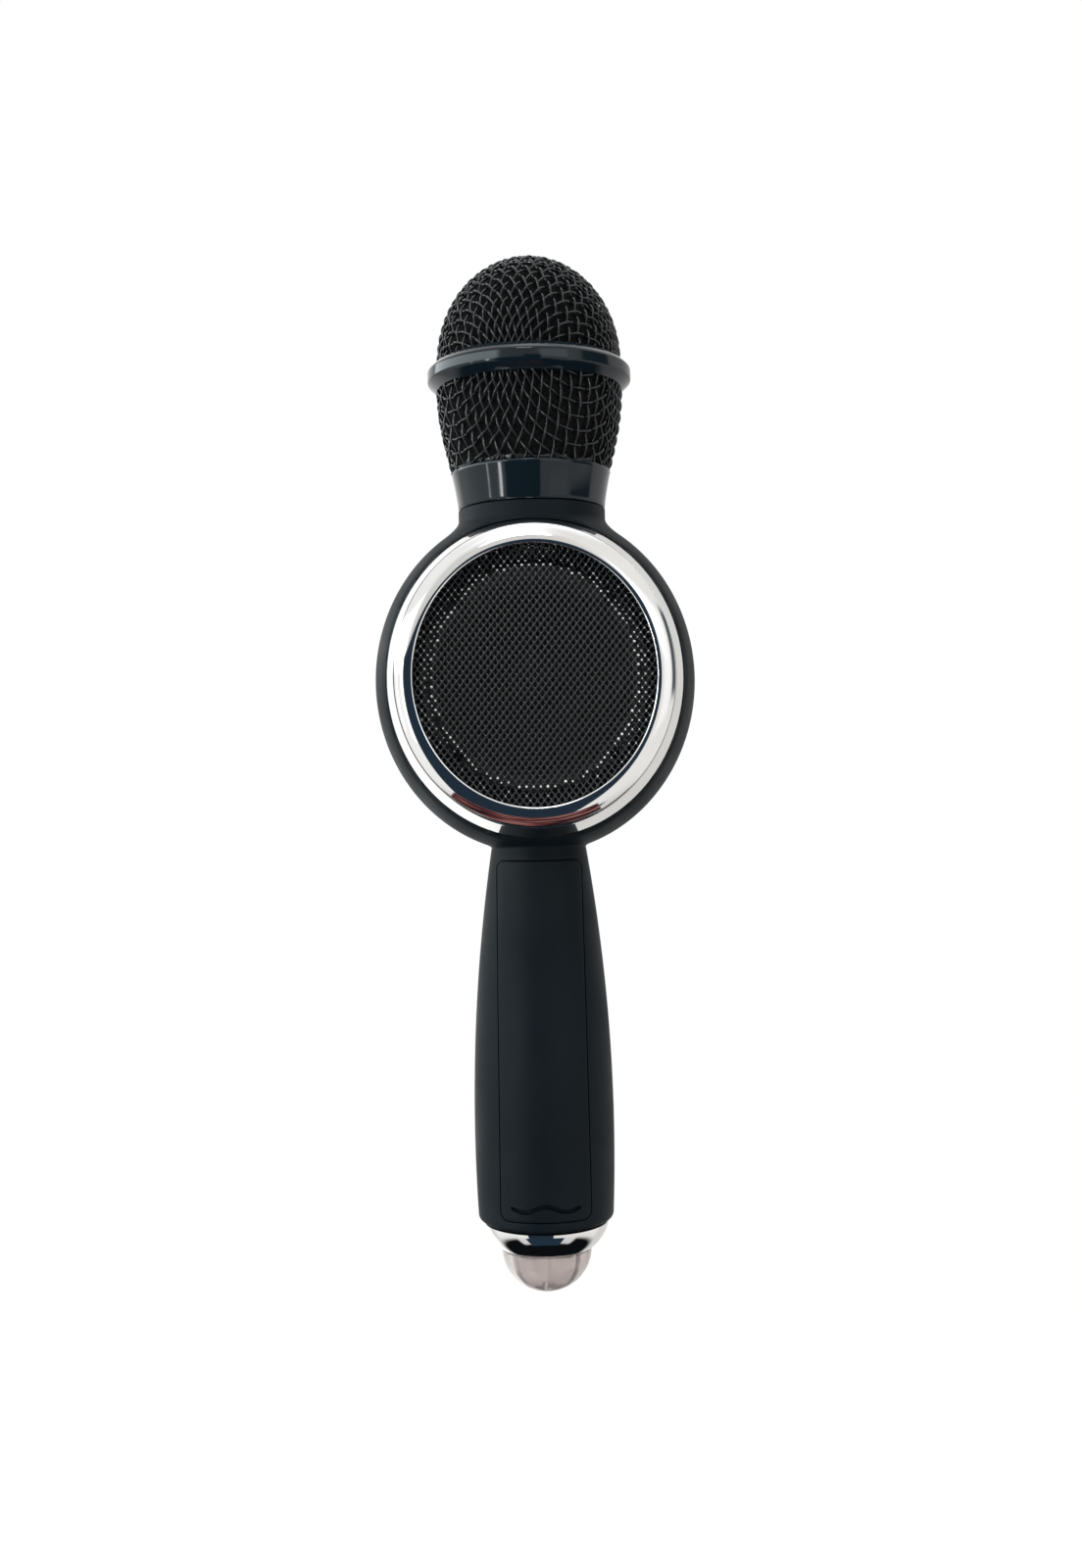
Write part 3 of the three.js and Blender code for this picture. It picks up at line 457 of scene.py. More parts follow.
def finish(name, dark, light, roughness, metallic=0.0, blotch=60, grain=None, specular=0.5):
    """Colour drifts between dark and light, roughness between two values, grain is a fine bump."""
    look = Look(name)
    look.fill(look.shader, {
        "Base Color": look.ramp(look.noise(blotch), (0.3, dark), (0.7, light)),
        "Roughness": look.spread(look.noise(blotch * 2.3, detail=5), roughness),
        "Metallic": metallic,
        "Specular IOR Level": specular,
    })
    if grain:
        scale, strength, distance = grain
        look.bump(look.noise(scale, detail=2), strength, distance)
    return look.material


def grey(value, tint=(1.0, 1.0, 1.0)):
    return tuple(value * t for t in tint)


def clear_finish(name):
    """Clear moulded plastic with a faint pink cast and slight ripples."""
    look = Look(name)
    drift = look.noise(90)
    look.fill(look.shader, {
        "Base Color": look.ramp(drift, (0.3, (0.70, 0.62, 0.60)), (0.7, (0.84, 0.77, 0.75))),
        "Roughness": look.spread(drift, (0.04, 0.1)),
        "Transmission Weight": 0.8,
        "IOR": 1.46,
    })
    look.bump(look.noise(170, detail=1), 0.4, 0.8 * MM)
    return look.material


def foam_finish(name):
    """Open-cell foam: small round cells, very matte."""
    look = Look(name)
    cells = look.add("TexVoronoi", {"Vector": look.place, "Scale": 1400}).outputs["Distance"]
    # The colour is darker in the pits of the cells, where the bump sinks: painted shade.
    colour = look.ramp(cells, (0.1, grey(0.002)), (0.7, grey(0.008)))
    look.fill(look.shader, {"Base Color": colour, "Roughness": 0.95, "Specular IOR Level": 0.1})
    look.bump(cells, 0.9, 0.3 * MM)
    return look.material


BLUE_BLACK = (0.45, 1.0, 1.45)
SOFT_BLACK = finish("soft_touch_black", grey(0.0050, BLUE_BLACK), grey(0.0068, BLUE_BLACK), (0.46, 0.58),
                    blotch=35, grain=(5200, 0.35, 0.04 * MM), specular=0.11)
GLOSS_BLACK = finish("gloss_black", grey(0.007, BLUE_BLACK), grey(0.010, BLUE_BLACK), (0.04, 0.1),
                     blotch=45, grain=(900, 0.04, 0.02 * MM), specular=0.32)
CHROME = finish("chrome", grey(0.80), grey(0.88), (0.03, 0.07), metallic=1.0, blotch=50,
                grain=(500, 0.02, 0.02 * MM))
WIRE_BLACK = finish("wire_black", grey(0.003), grey(0.007, BLUE_BLACK), (0.13, 0.22), metallic=0.1,
                    blotch=420, grain=(3000, 0.3, 0.03 * MM), specular=0.55)
GRILLE_BLACK = finish("grille_black", grey(0.003), grey(0.007, BLUE_BLACK), (0.2, 0.32), metallic=0.1,
                      blotch=500, grain=(4000, 0.15, 0.02 * MM), specular=0.6)
STEEL = finish("steel", grey(0.42), grey(0.55), (0.25, 0.42), metallic=1.0, blotch=200,
               grain=(2500, 0.2, 0.02 * MM))
# Bright metal for the small beads that stand for the glints of light on the grille's pressed shoulder:
# painted highlights.
GLINT_METAL = finish("glint_metal", grey(0.86), grey(0.95), (0.34, 0.5), metallic=1.0, blotch=900)
DARK_PLASTIC = finish("dark_plastic", grey(0.012), grey(0.02), (0.45, 0.6), blotch=80,
                      grain=(3500, 0.3, 0.03 * MM))
CONE_PAPER = finish("cone_paper", grey(0.004), grey(0.009), (0.8, 0.95), blotch=700,
                    grain=(2200, 0.8, 0.08 * MM))
BOARD_GREEN = finish("board_green", (0.008, 0.06, 0.025), (0.015, 0.1, 0.04), (0.25, 0.4), blotch=300,
                     grain=(900, 0.5, 0.04 * MM))
CELL_BLUE = finish("cell_blue", (0.02, 0.11, 0.3), (0.03, 0.14, 0.36), (0.15, 0.3), blotch=120,
                   grain=(600, 0.1, 0.03 * MM))
LAMP_WHITE = finish("lamp_white", (0.75, 0.74, 0.7), (0.85, 0.84, 0.8), (0.1, 0.2), blotch=400,
                    grain=(900, 0.1, 0.02 * MM))
CLEAR = clear_finish("clear_plastic")
FOAM = foam_finish("foam")


# ---- casing ---------------------------------------------------------------------------------


def barrel_radius(depth):
    """The disc's side bulges: its radius at a depth from the middle plane."""
    return DISC_RADIUS - (DISC_RADIUS - DISC_EDGE_RADIUS) * (depth / DISC_HALF_DEPTH) ** 2


def disc_reach(z, angle):
    """How far the disc reaches from the handle's axis at a height, in a direction, or 0."""
    lift = np.abs(z - DISC_Z) / OVAL
    near, far = np.zeros_like(z + angle), np.full_like(z + angle, DISC_RADIUS * 1.01)
    for _ in range(40):
        reach = (near + far) / 2
        depth = np.abs(reach * np.sin(angle))
        across = reach * np.cos(angle)
        is_in = (depth <= DISC_HALF_DEPTH) & (across**2 + lift**2 <= barrel_radius(depth) ** 2)
        near, far = np.where(is_in, reach, near), np.where(is_in, far, reach)
    return near


def smooth_max(a, b, blend):
    """The larger of two values, with a soft change-over of a given size."""
    h = np.clip(blend - np.abs(a - b), 0, None) / blend
    return np.maximum(a, b) + h * h * blend / 4


def column_radius(z, angle):
    """Reach of the handle and neck, with a fillet where each grows out of the disc."""
    neck_start, neck_full = DISC_Z - 20 * MM, DISC_Z + 26 * MM
    rise = np.clip((z - neck_start) / (neck_full - neck_start), 0, 1)
    radius = handle_radius(np.minimum(z, HANDLE_HIGH + 2 * MM))
    radius = radius + (NECK_RADIUS - radius) * rise
    radius = np.where(z > neck_full, NECK_RADIUS, radius)
    edge = np.clip((z - HANDLE_LOW) / HANDLE_ROUND, 0, 1)
    radius = radius - HANDLE_ROUND * (1 - np.sqrt(1 - (1 - edge) ** 2))
    top_edge_radius = NECK_RADIUS - 0.25 * MM
    radius = np.where(z > NECK_TOP - 0.05 * MM, top_edge_radius, radius)
    neck_fillet, handle_fillet = 4 * MM, 1.4 * MM
    blend = np.where(z > DISC_Z, neck_fillet, handle_fillet)
    just_under_disc = disc_reach(z, angle) - 0.03 * MM
    return smooth_max(radius, just_under_disc, blend)


def column():
    """Handle and neck in one, with rows closest where the outline bends most."""
    heights = np.concatenate([
        HANDLE_LOW + HANDLE_ROUND * (1 - np.cos(np.linspace(0, math.pi / 2, 6))),
        np.linspace(HANDLE_LOW + 2 * MM, HANDLE_HIGH - 2 * MM, 84),
        np.linspace(HANDLE_HIGH - 1.8 * MM, HANDLE_HIGH + 5 * MM, 44),
        np.linspace(HANDLE_HIGH + 6 * MM, NECK_TOP - 12 * MM, 12),
        np.linspace(NECK_TOP - 11 * MM, NECK_TOP - 0.3 * MM, 56),
        [NECK_TOP - 0.1 * MM, NECK_TOP],
    ])
    angles = np.linspace(0, 2 * math.pi, 192, endpoint=False)
    z, angle = np.meshgrid(heights, angles, indexing="ij")
    radius = column_radius(z, angle)
    verts = np.stack([radius * np.cos(angle), radius * np.sin(angle), z], -1).reshape(-1, 3)
    return new_object("column", verts, loft(*z.shape))


def casing_solid():
    """The whole casing, hollow, before it is split into its two shells."""
    seat_radius = CREASE_RADIUS + 0.25 * MM
    depths = np.linspace(-DISC_HALF_DEPTH, DISC_HALF_DEPTH, 25)
    side = [(barrel_radius(d), d) for d in depths]
    edge = 0.5 * MM
    side[0] = (side[0][0] - edge * 0.6, side[0][1])
    side[-1] = (side[-1][0] - edge * 0.6, side[-1][1])
    side.insert(1, (barrel_radius(DISC_HALF_DEPTH) - 0.05 * MM, -DISC_HALF_DEPTH + edge))
    side.insert(-1, (barrel_radius(DISC_HALF_DEPTH) - 0.05 * MM, DISC_HALF_DEPTH - edge))
    profile = [(0, -DISC_HALF_DEPTH), *side, (0, DISC_HALF_DEPTH)]
    casing = disc_turn("disc_casing", profile, 1, steps=256, closed=False)
    boolean(casing, column(), "UNION")
    spigot = turn("spigot", [(0, NECK_TOP - MM), (SPIGOT_RADIUS, NECK_TOP - MM), (SPIGOT_RADIUS, SPIGOT_TOP),
                             (0, SPIGOT_TOP)], closed=False)
    boolean(casing, spigot, "UNION")
    for facing in FACING.values():
        seat = [(0, DISC_HALF_DEPTH), (RING_RADIUS + 0.25 * MM, DISC_HALF_DEPTH),
                (seat_radius, CREASE_DEPTH), (seat_radius, CREST + MM), (0, CREST + MM)]
        boolean(casing, disc_turn("seat", seat, facing, steps=256, closed=False))
    boolean(casing, handle_hollow())
    inner = DISC_HALF_DEPTH - 2 * MM
    drum = [(0, -inner), (DISC_EDGE_RADIUS - WALL, -inner), (DISC_RADIUS - WALL, 0),
            (DISC_EDGE_RADIUS - WALL, inner), (0, inner)]
    boolean(casing, disc_turn("drum", drum, 1, steps=96, closed=False))
    through = DISC_HALF_DEPTH + 5 * MM
    hole = [(0, -through), (SPEAKER_HOLE_RADIUS, -through), (SPEAKER_HOLE_RADIUS, through), (0, through)]
    boolean(casing, turn("hole", hole, axis="Y", centre=(0, 0, DISC_Z), steps=96, closed=False))
    return casing


def handle_hollow():
    """The room inside handle, neck and spigot, open at both ends."""
    bottom = HANDLE_LOW + WALL
    throat = THROAT_RADIUS - WALL
    side = [(handle_radius(z) - WALL, z) for z in np.linspace(bottom, HANDLE_HIGH, 14)]
    tail_bore, neck_bore, spigot_bore = 13.4 * MM, NECK_RADIUS - 2 * MM, SPIGOT_RADIUS - 2 * MM
    profile = [(0, HANDLE_LOW - MM), (tail_bore, HANDLE_LOW - MM), (tail_bore, bottom), *side,
               (throat, DISC_Z - 25 * MM), (neck_bore, DISC_Z + 26 * MM), (neck_bore, NECK_TOP - 2 * MM),
               (spigot_bore, NECK_TOP), (spigot_bore, SPIGOT_TOP + MM), (0, SPIGOT_TOP + MM)]
    return turn("hollow", profile, steps=96, closed=False)


COVER_HIGH = 41.2 * MM
COVER_LOW = low("battery_cover")[2]
COVER_TOP_HALF, COVER_LOW_HALF = 10.4 * MM, high("battery_cover")[0]
SEAM = 0.2 * MM


def cover_outline(grow=0.0):
    """Counter-clockwise outline of the battery cover: a tall rounded shape, slightly wider at its foot."""
    corner = 2 * MM
    half = [(0.0, COVER_LOW)]
    half += arc((COVER_LOW_HALF - corner, COVER_LOW + corner), corner, -90, 0, 8)
    half += arc((COVER_TOP_HALF - corner, COVER_HIGH - corner), corner, 0, 90, 8)
    mirrored = [(-x, z) for x, z in reversed(half[1:])]
    return inset_outline(spaced(half + mirrored, 1.2 * MM), -grow)


def shells():
    """The casing parted at its middle; the battery's opening and the controls' seats are cut out."""
    casing = casing_solid()
    soften_shading(casing, 35)
    front = bpy.data.objects.new("front_shell_skin", casing.data.copy())
    bpy.context.scene.collection.objects.link(front)
    rear = casing
    rear.name = "rear_shell_skin"
    reach = 300 * MM
    half_gap = 0.12 * MM
    boolean(rear, box_solid("keep", (-reach, -reach, -reach), (reach, -half_gap, reach)), "INTERSECT")
    boolean(front, box_solid("keep", (-reach, half_gap, -reach), (reach, reach, reach)), "INTERSECT")
    boolean(rear, prism("opening", cover_outline(SEAM), -40 * MM, -1 * MM))
    cut_front(front)
    for shell, node in ((rear, "rear_shell"), (front, "front_shell")):
        soften_shading(shell, 35)
        finish_piece(shell, SOFT_BLACK, [node])


def shell_tongue():
    """A rib in each seam between the shells: it lines them up and keeps light out of the gap."""
    heights = np.linspace(HANDLE_LOW + 0.8 * MM, NECK_TOP - 0.8 * MM, 400)
    skin = column_radius(heights, np.zeros_like(heights))
    inner, outer, half = skin - 1.5 * MM, skin - 0.7 * MM, 0.5 * MM
    corners = [(inner, -half), (outer, -half), (outer, half), (inner, half)]
    for side, name in ((-1, "left"), (1, "right")):
        edges = [np.column_stack([side * x, np.full_like(x, y), heights]) for x, y in corners]
        verts = np.stack(edges, axis=1).reshape(-1, 3)
        rib = new_object(f"front_shell_tongue_{name}", verts, loft(len(heights), len(corners)))
        finish_piece(rib, SOFT_BLACK, ["front_shell"])


PANEL_HALF = high("control_panel")[0]
PANEL_LOW, PANEL_HIGH = low("control_panel")[2], high("control_panel")[2]
PANEL_PROUD = 0.25 * MM
BUTTON_HOLE_RADIUS = 2.85 * MM
SLOT_HALF_WIDTH, SLOT_HALF_LENGTH = 1 * MM, 7.5 * MM
BUTTON_KEYS = ("power", "previous", "play", "next")
SLIDER_KEYS = ("music", "voice", "echo")


def centre_of(node):
    return (low(node) + high(node)) / 2


def panel_outline(grow=0.0):
    return rounded_rectangle(-PANEL_HALF - grow, PANEL_LOW - grow, PANEL_HALF + grow, PANEL_HIGH + grow,
                             2.5 * MM + grow)


def button_hole(key):
    return circle((0, centre_of(key + "_button")[2]), BUTTON_HOLE_RADIUS, 40)


def slider_slot(key):
    x, _, z = centre_of(key + "_slider")
    half, reach = SLOT_HALF_WIDTH, SLOT_HALF_LENGTH
    return rounded_rectangle(x - half, z - reach, x + half, z + reach, 0.95 * MM, spacing=1.2 * MM)


def usb_outline(grow):
    (x0, _, z0), (x1, _, z1) = low("usb_port"), high("usb_port")
    return rounded_rectangle(x0 - grow, z0 - grow, x1 + grow, z1 + grow, 1.6 * MM + grow)


def cut_front(front):
    """Seat of the control panel, and the holes of the buttons, sliders and sockets."""
    depth, outside = 1.2 * MM, 40 * MM
    behind_keys, behind_sockets = 9 * MM, 11 * MM
    heights = np.linspace(PANEL_LOW - 2 * MM, PANEL_HIGH + 2 * MM, 20)
    outer = [(handle_radius(z) + 4 * MM, z) for z in heights]
    inner = [(handle_radius(z) - depth, z) for z in heights[::-1]]
    seat = turn("seat", outer + inner, steps=192)
    boolean(seat, prism("outline", panel_outline(0.2 * MM), MM, outside), "INTERSECT")
    boolean(front, seat)
    for key in BUTTON_KEYS:
        boolean(front, prism("hole", button_hole(key), behind_keys, outside))
    for key in SLIDER_KEYS:
        boolean(front, prism("slot", slider_slot(key), behind_keys, outside))
    boolean(front, prism("usb", usb_outline(0.25 * MM), behind_sockets, outside))
    x, _, z = centre_of("audio_jack")
    jack_radius = high("audio_jack")[0] - x
    boolean(front, prism("jack", circle((x, z), jack_radius + GAP), behind_sockets, outside))


def skin_depth(flat):
    """Distance of the handle's skin from the mid-plane over flat (x, z) points."""
    return np.sqrt(np.clip(handle_radius(flat[:, 1]) ** 2 - flat[:, 0] ** 2, 0, None))


GROOVE_HALF_WIDTH = 0.52 * MM
GROOVE_DEPTH = 1.1 * MM
GROOVE_SPAN = 8.5 * MM
TROUGH_X = 5.1 * MM
TROUGH_Z = COVER_LOW + 2.5 * MM
CREST_RISE, END_RISE = 1.4 * MM, 0.8 * MM


def groove_height(x):
    """The finger groove, shaped like a moustache: a crest, a trough each side, ends that turn up."""
    away = np.abs(x)
    wave = TROUGH_Z + CREST_RISE * (1 + np.cos(math.pi * np.minimum(away, TROUGH_X) / TROUGH_X)) / 2
    return wave + END_RISE * np.clip((away - TROUGH_X) / (GROOVE_SPAN - TROUGH_X), 0, 2) ** 1.6


def battery_cover():
    """A curved cover with the groove pressed into it, and two hooks at its top."""
    outline = cover_outline()
    coarse = grid_points(-11 * MM, 11 * MM, COVER_LOW, COVER_HIGH, 0.9 * MM, 1.6 * MM)
    groove_z = TROUGH_Z + CREST_RISE / 2
    in_groove = (np.abs(coarse[:, 1] - groove_z) < 2.2 * MM) & (np.abs(coarse[:, 0]) < 9.7 * MM)
    fine = grid_points(-9.6 * MM, 9.6 * MM, groove_z - 2.1 * MM, groove_z + 2.1 * MM, 0.2 * MM, 0.14 * MM)
    flat, faces, drop = flat_mesh(outline, [], np.vstack([coarse[~in_groove], fine]))
    away = np.abs(flat[:, 1] - groove_height(flat[:, 0]))
    end = np.clip((GROOVE_SPAN - np.abs(flat[:, 0])) / (1.6 * MM), 0, 1)
    width = GROOVE_HALF_WIDTH * (0.6 + 0.4 * np.sqrt(end))
    groove = GROOVE_DEPTH * np.clip(1 - (away / width) ** 2, 0, 1) ** 0.45 * np.minimum(1, end * 4)
    skin = skin_depth(flat)
    inner = np.sqrt(np.clip((handle_radius(flat[:, 1]) - 1.6 * MM) ** 2 - flat[:, 0] ** 2, 0, None))
    back = np.minimum(inner, skin - groove - 0.5 * MM)
    cover = thick_sheet("battery_cover_skin", flat, faces, -(skin - drop - groove), -back)
    half, foot, back_y = 1.3 * MM, COVER_HIGH - 3 * MM, -5.7 * MM
    hook_y, root_y, hook_x = -6.9 * MM, -10.6 * MM, 5 * MM
    for x in (-hook_x, hook_x):
        hook = (x - half, hook_y, foot), (x + half, back_y, COVER_HIGH + 2 * MM)
        root = (x - half, root_y, foot), (x + half, back_y, foot + 2 * MM)
        for corners in (hook, root):
            boolean(cover, box_solid("hook", *corners), "UNION")
    soften_shading(cover, 40)
    finish_piece(cover, SOFT_BLACK, ["battery_cover"], "cover")


# ---- disc -----------------------------------------------------------------------------------

RIM_RADIUS = CREASE_RADIUS - 0.25 * MM
RIM_DROP = 1.3 * MM


def ring_face(radius):
    """Depth of the ring's face: highest near its inner edge, falling away faster and faster to its rim."""
    outward = np.clip((radius - CREST_RADIUS) / (RIM_RADIUS - CREST_RADIUS), 0, 1)
    return CREST - RIM_DROP * outward**2


def bezel_ring(face_name):
    """Chrome ring: steep skirt, a fine crease, a broad rounded face and a bright lip."""
    node = face_name + "_bezel_ring"
    curl = 0.4 * MM
    face = [(r, ring_face(r)) for r in np.linspace(RIM_RADIUS, LIP_RADIUS + curl, 26)]
    lip = [(LIP_RADIUS + curl + curl * math.cos(a), CREST - curl + curl * math.sin(a))
           for a in np.linspace(0.6 * math.pi, math.pi, 8)]
    rim_depth = CREST - RIM_DROP
    groove = rim_depth - 0.9 * MM
    crease = [(CREASE_RADIUS + 0.22 * MM, CREASE_DEPTH - 0.35 * MM),
              (CREASE_RADIUS + 0.12 * MM, CREASE_DEPTH - 0.2 * MM),
              (CREASE_RADIUS - 0.02 * MM, groove),
              (CREASE_RADIUS - 0.1 * MM, groove),
              (CREASE_RADIUS - 0.1 * MM, rim_depth - 0.3 * MM),
              (CREASE_RADIUS - 0.14 * MM, rim_depth - 0.12 * MM)]
    skirt = [(RING_RADIUS + (crease[0][0] - RING_RADIUS) * t, RING_BASE + (crease[0][1] - RING_BASE) * t)
             for t in (0.03, 0.06, 0.3, 0.6, 0.9)]
    profile = [(RING_RADIUS - 0.3 * MM, RING_BASE), *skirt, *crease, *face, *lip,
               (LIP_RADIUS, GRILLE_FLAT + 0.4 * MM), (GRILLE_RADIUS + MM, GRILLE_FLAT + 0.4 * MM),
               (RING_RADIUS - 1.7 * MM, RING_BASE)]
    ring = disc_turn(node + "_skin", profile, FACING[face_name], steps=288, sharp=50)
    finish_piece(ring, CHROME, [node])


HOLE_WIDTH, HOLE_HEIGHT = 1.70 * MM, 2.20 * MM
STRAND = 0.40 * MM
STRAND_THICKNESS, STRAND_RIDGE = 0.32 * MM, 0.14 * MM
GRILLE_RADIUS = 30.6 * MM
GRILLE_FLAT = CREST - 5.2 * MM
GRILLE_TOP = CREST - 3.6 * MM
GRILLE_CROWN = high("front_grille")[1]
STEP_OUTER, STEP_INNER = 26 * MM, 24.5 * MM


def grille_depth(flat):
    """Depth of the grille's face: a flat rim, a pressed shoulder and a shallow dome inside it."""
    radius = np.hypot(flat[:, 0], (flat[:, 1] - DISC_Z) / OVAL)
    step = np.clip((STEP_OUTER - radius) / (STEP_OUTER - STEP_INNER), 0, 1)
    step = step * step * (3 - 2 * step)
    dome = (GRILLE_CROWN - GRILLE_TOP) * np.clip(1 - (radius / STEP_INNER) ** 2, 0, 1)
    return GRILLE_FLAT + (GRILLE_TOP - GRILLE_FLAT) * step + dome


def grille(face_name):
    """Expanded metal: a diamond lattice of strands, each a ridge, pressed to the grille's shape."""
    node, side = face_name + "_grille", FACING[face_name]
    half_w, half_h = HOLE_WIDTH / 2, HOLE_HEIGHT / 2
    reach = half_w * half_h / math.hypot(half_w, half_h)
    opening = (reach - STRAND / 2) / reach
    blunt = 0.9
    outer = [(1, 0), (0.5, 0.5), (0, 1), (-0.5, 0.5), (-1, 0), (-0.5, -0.5), (0, -1), (0.5, -0.5)]
    index, points, ridge, faces = {}, [], [], []

    def vertex(x, z, is_ridge):
        key = (round(x * 1e6), round(z * 1e6))
        if key not in index:
            index[key] = len(points)
            points.append((x, z))
            ridge.append(is_ridge)
        return index[key]

    columns, rows = int(GRILLE_RADIUS / half_w) + 1, int(GRILLE_RADIUS * OVAL / half_h) + 1
    for i in range(-columns, columns + 1):
        for j in range(-rows, rows + 1):
            x, z = i * half_w, DISC_Z + j * half_h
            if (i + j) % 2 or math.hypot(x, (z - DISC_Z) / OVAL) > GRILLE_RADIUS:
                continue
            rim = [vertex(x + u * half_w, z + v * half_h, True) for u, v in outer]
            hole = []
            for u, v in outer:
                share = opening * (blunt if u * v == 0 else 1.0)
                hole.append(vertex(x + u * half_w * share, z + v * half_h * share, False))
            for k in range(8):
                m = (k + 1) % 8
                faces.append((rim[k], rim[m], hole[m], hole[k]))
    flat = np.array(points)
    lift = np.where(ridge, STRAND_RIDGE, 0.0)
    top = grille_depth(flat)
    bottom = top - STRAND_THICKNESS - lift * 0.5
    sheet = thick_sheet(node + "_mesh", flat, faces, side * (top + lift), side * bottom, sharp=100)
    finish_piece(sheet, GRILLE_BLACK, [node])


def glint_share(angle):
    """How many shoulder crossings get a bright bead at an angle: most at the upper left and the right, where
    the light comes from; the beads are painted highlights.
    """
    lit_sides = np.radians(145), np.radians(15)
    return 0.25 + 0.75 * max(0.0, *(math.cos(angle - lit_side) for lit_side in lit_sides))


def bead(x, z, base, side, size, first):
    """A small dome on the lattice: its corners and faces, numbered from first."""
    sides = 6
    angles = np.linspace(0, 2 * math.pi, sides + 1)[:-1]
    verts = []
    for wide, lift in ((0.95, 0.1), (0.6, 0.75)):
        reach, y = size * wide, side * (base + size * lift)
        verts += [(x + reach * math.cos(a), y, z + reach * math.sin(a)) for a in angles]
    verts += [(x, side * (base + size), z), (x, side * (base - 0.1 * MM), z)]
    tip, foot = first + 2 * sides, first + 2 * sides + 1
    faces = []
    for k in range(sides):
        a, b = first + k, first + (k + 1) % sides
        faces += [(b, a, a + sides, b + sides), (b + sides, a + sides, tip), (a, b, foot)]
    return verts, faces if side < 0 else [tuple(reversed(face)) for face in faces]


# Rows of painted glints on the shoulder's crossings: (inner radius, outer radius, share of crossings that get
# a bright bead, bead size).
GLINT_ROWS = [(24.1 * MM, 25.1 * MM, 0.97, 0.33 * MM), (25.1 * MM, 26.7 * MM, 0.85, 0.33 * MM),
             (26.7 * MM, 28.8 * MM, 0.5, 0.28 * MM)]


def glint_bead_size(i, j, x, up):
    """Size of the bright bead (a painted glint) on the crossing in column i and row j, or 0 where there is
    none.
    """
    distance = math.hypot(x, up / OVAL)
    # Scattered over 0 to 1, and the same on every run.
    chance = abs(math.sin(i * 12.99 + j * 78.23) * 437.5) % 1
    for row, (inner, outer, share, size) in enumerate(GLINT_ROWS):
        if inner <= distance < outer:
            local_share = share if row == 0 else share * glint_share(math.atan2(up, x))
            return size * (0.7 + 0.6 * chance) if chance <= local_share else 0
    return 0


def glint_beads(face_name):
    """Crossings of the lattice on the pressed shoulder, with small bright metal beads as painted glints of
    light.
    """
    node, side = face_name + "_grille", FACING[face_name]
    verts, faces = [], []
    reach = int(GLINT_ROWS[-1][1] / (HOLE_WIDTH / 2)) + 1
    for i in range(-reach, reach + 1):
        for j in range(-reach, reach + 1):
            x, up = i * HOLE_WIDTH / 2, j * HOLE_HEIGHT / 2
            size = glint_bead_size(i, j, x, up) if (i + j) % 2 else 0
            if size:
                base = float(grille_depth(np.array([[x, DISC_Z + up]]))[0]) + 0.05 * MM
                more_verts, more_faces = bead(x, DISC_Z + up, base, side, size, len(verts))
                verts += more_verts
                faces += more_faces
    beads = new_object(node + "_knuckles", verts, faces, 80)
    finish_piece(beads, GLINT_METAL, [node])


# ---- head -----------------------------------------------------------------------------------


class Surface:
    """A surface of revolution about Z, addressed by flat coordinates: arc length times direction."""

    def __init__(self, profile, length=None):
        profile = np.asarray(profile, float)
        self.radius, self.height = profile[:, 0], profile[:, 1]
        steps = np.hypot(np.diff(self.radius), np.diff(self.height))
        self.length = np.concatenate([[0], np.cumsum(steps)]) if length is None else length

    def point(self, flat):
        flat = np.asarray(flat, float)
        s = np.hypot(flat[..., 0], flat[..., 1])
        r = np.interp(s, self.length, self.radius)
        z = np.interp(s, self.length, self.height)
        scale = r / np.maximum(s, 1e-9)
        return np.stack([flat[..., 0] * scale, flat[..., 1] * scale, z], -1)

    def normal(self, flat):
        step = 0.2 * MM
        across = self.point(flat + np.array([step, 0])) - self.point(flat - np.array([step, 0]))
        along = self.point(flat + np.array([0, step])) - self.point(flat - np.array([0, step]))
        n = np.cross(across, along)
        return n / np.linalg.norm(n, axis=-1)[..., None]


def draw_net(surface, pitch):
    """A net of equal square meshes drawn over the surface from its pole, in its first quadrant."""
    reach = surface.length[-1]
    net = {(0, 0): np.zeros(2)}
    step = 0
    while True:
        here = net[(step, 0)][0]
        near, far = here, here + 2 * pitch
        start = surface.point([here, 0])
        for _ in range(40):
            middle = (near + far) / 2
            closer = np.linalg.norm(surface.point([middle, 0]) - start) < pitch
            near, far = (middle, far) if closer else (near, middle)
        if near > reach:
            break
        step += 1
        net[(step, 0)] = np.array([near, 0.0])
        net[(0, step)] = np.array([0.0, near])
    for total in range(2, 2 * step + 1):
        for i in range(1, total):
            j = total - i
            if (i - 1, j) in net and (i, j - 1) in net and (i - 1, j - 1) in net:
                found = fourth_corner(surface, pitch, net[(i - 1, j)], net[(i, j - 1)], net[(i - 1, j - 1)])
                if found is not None and np.hypot(*found) < reach:
                    net[(i, j)] = found
    return net


def fourth_corner(surface, pitch, a, b, c):
    """The point one pitch from a and from b, on the far side from c."""
    guess = a + b - c
    ends = surface.point(np.array([a, b]))
    small = 1e-6
    for _ in range(14):
        here = surface.point(guess)
        error = np.linalg.norm(ends - here, axis=1) - pitch
        slope = np.empty((2, 2))
        for k in range(2):
            moved = guess.copy()
            moved[k] += small
            slope[:, k] = (np.linalg.norm(ends - surface.point(moved), axis=1) - pitch - error) / small
        if abs(np.linalg.det(slope)) < 0.02:
            return None
        guess = guess - np.linalg.solve(slope, error)
    return guess if np.abs(error).max() < 0.01 * MM else None


def quarter_turn(point, quarters):
    x, y = point
    return [np.array([x, y]), np.array([-y, x]), np.array([-x, -y]), np.array([y, -x])][quarters]


def whole_net(quadrant):
    """The net of the first quadrant, turned into all four."""
    net = {}
    for (i, j), point in quadrant.items():
        for quarters, key in enumerate([(i, j), (-j, i), (-i, -j), (j, -i)]):
            net[key] = quarter_turn(point, quarters)
    return net


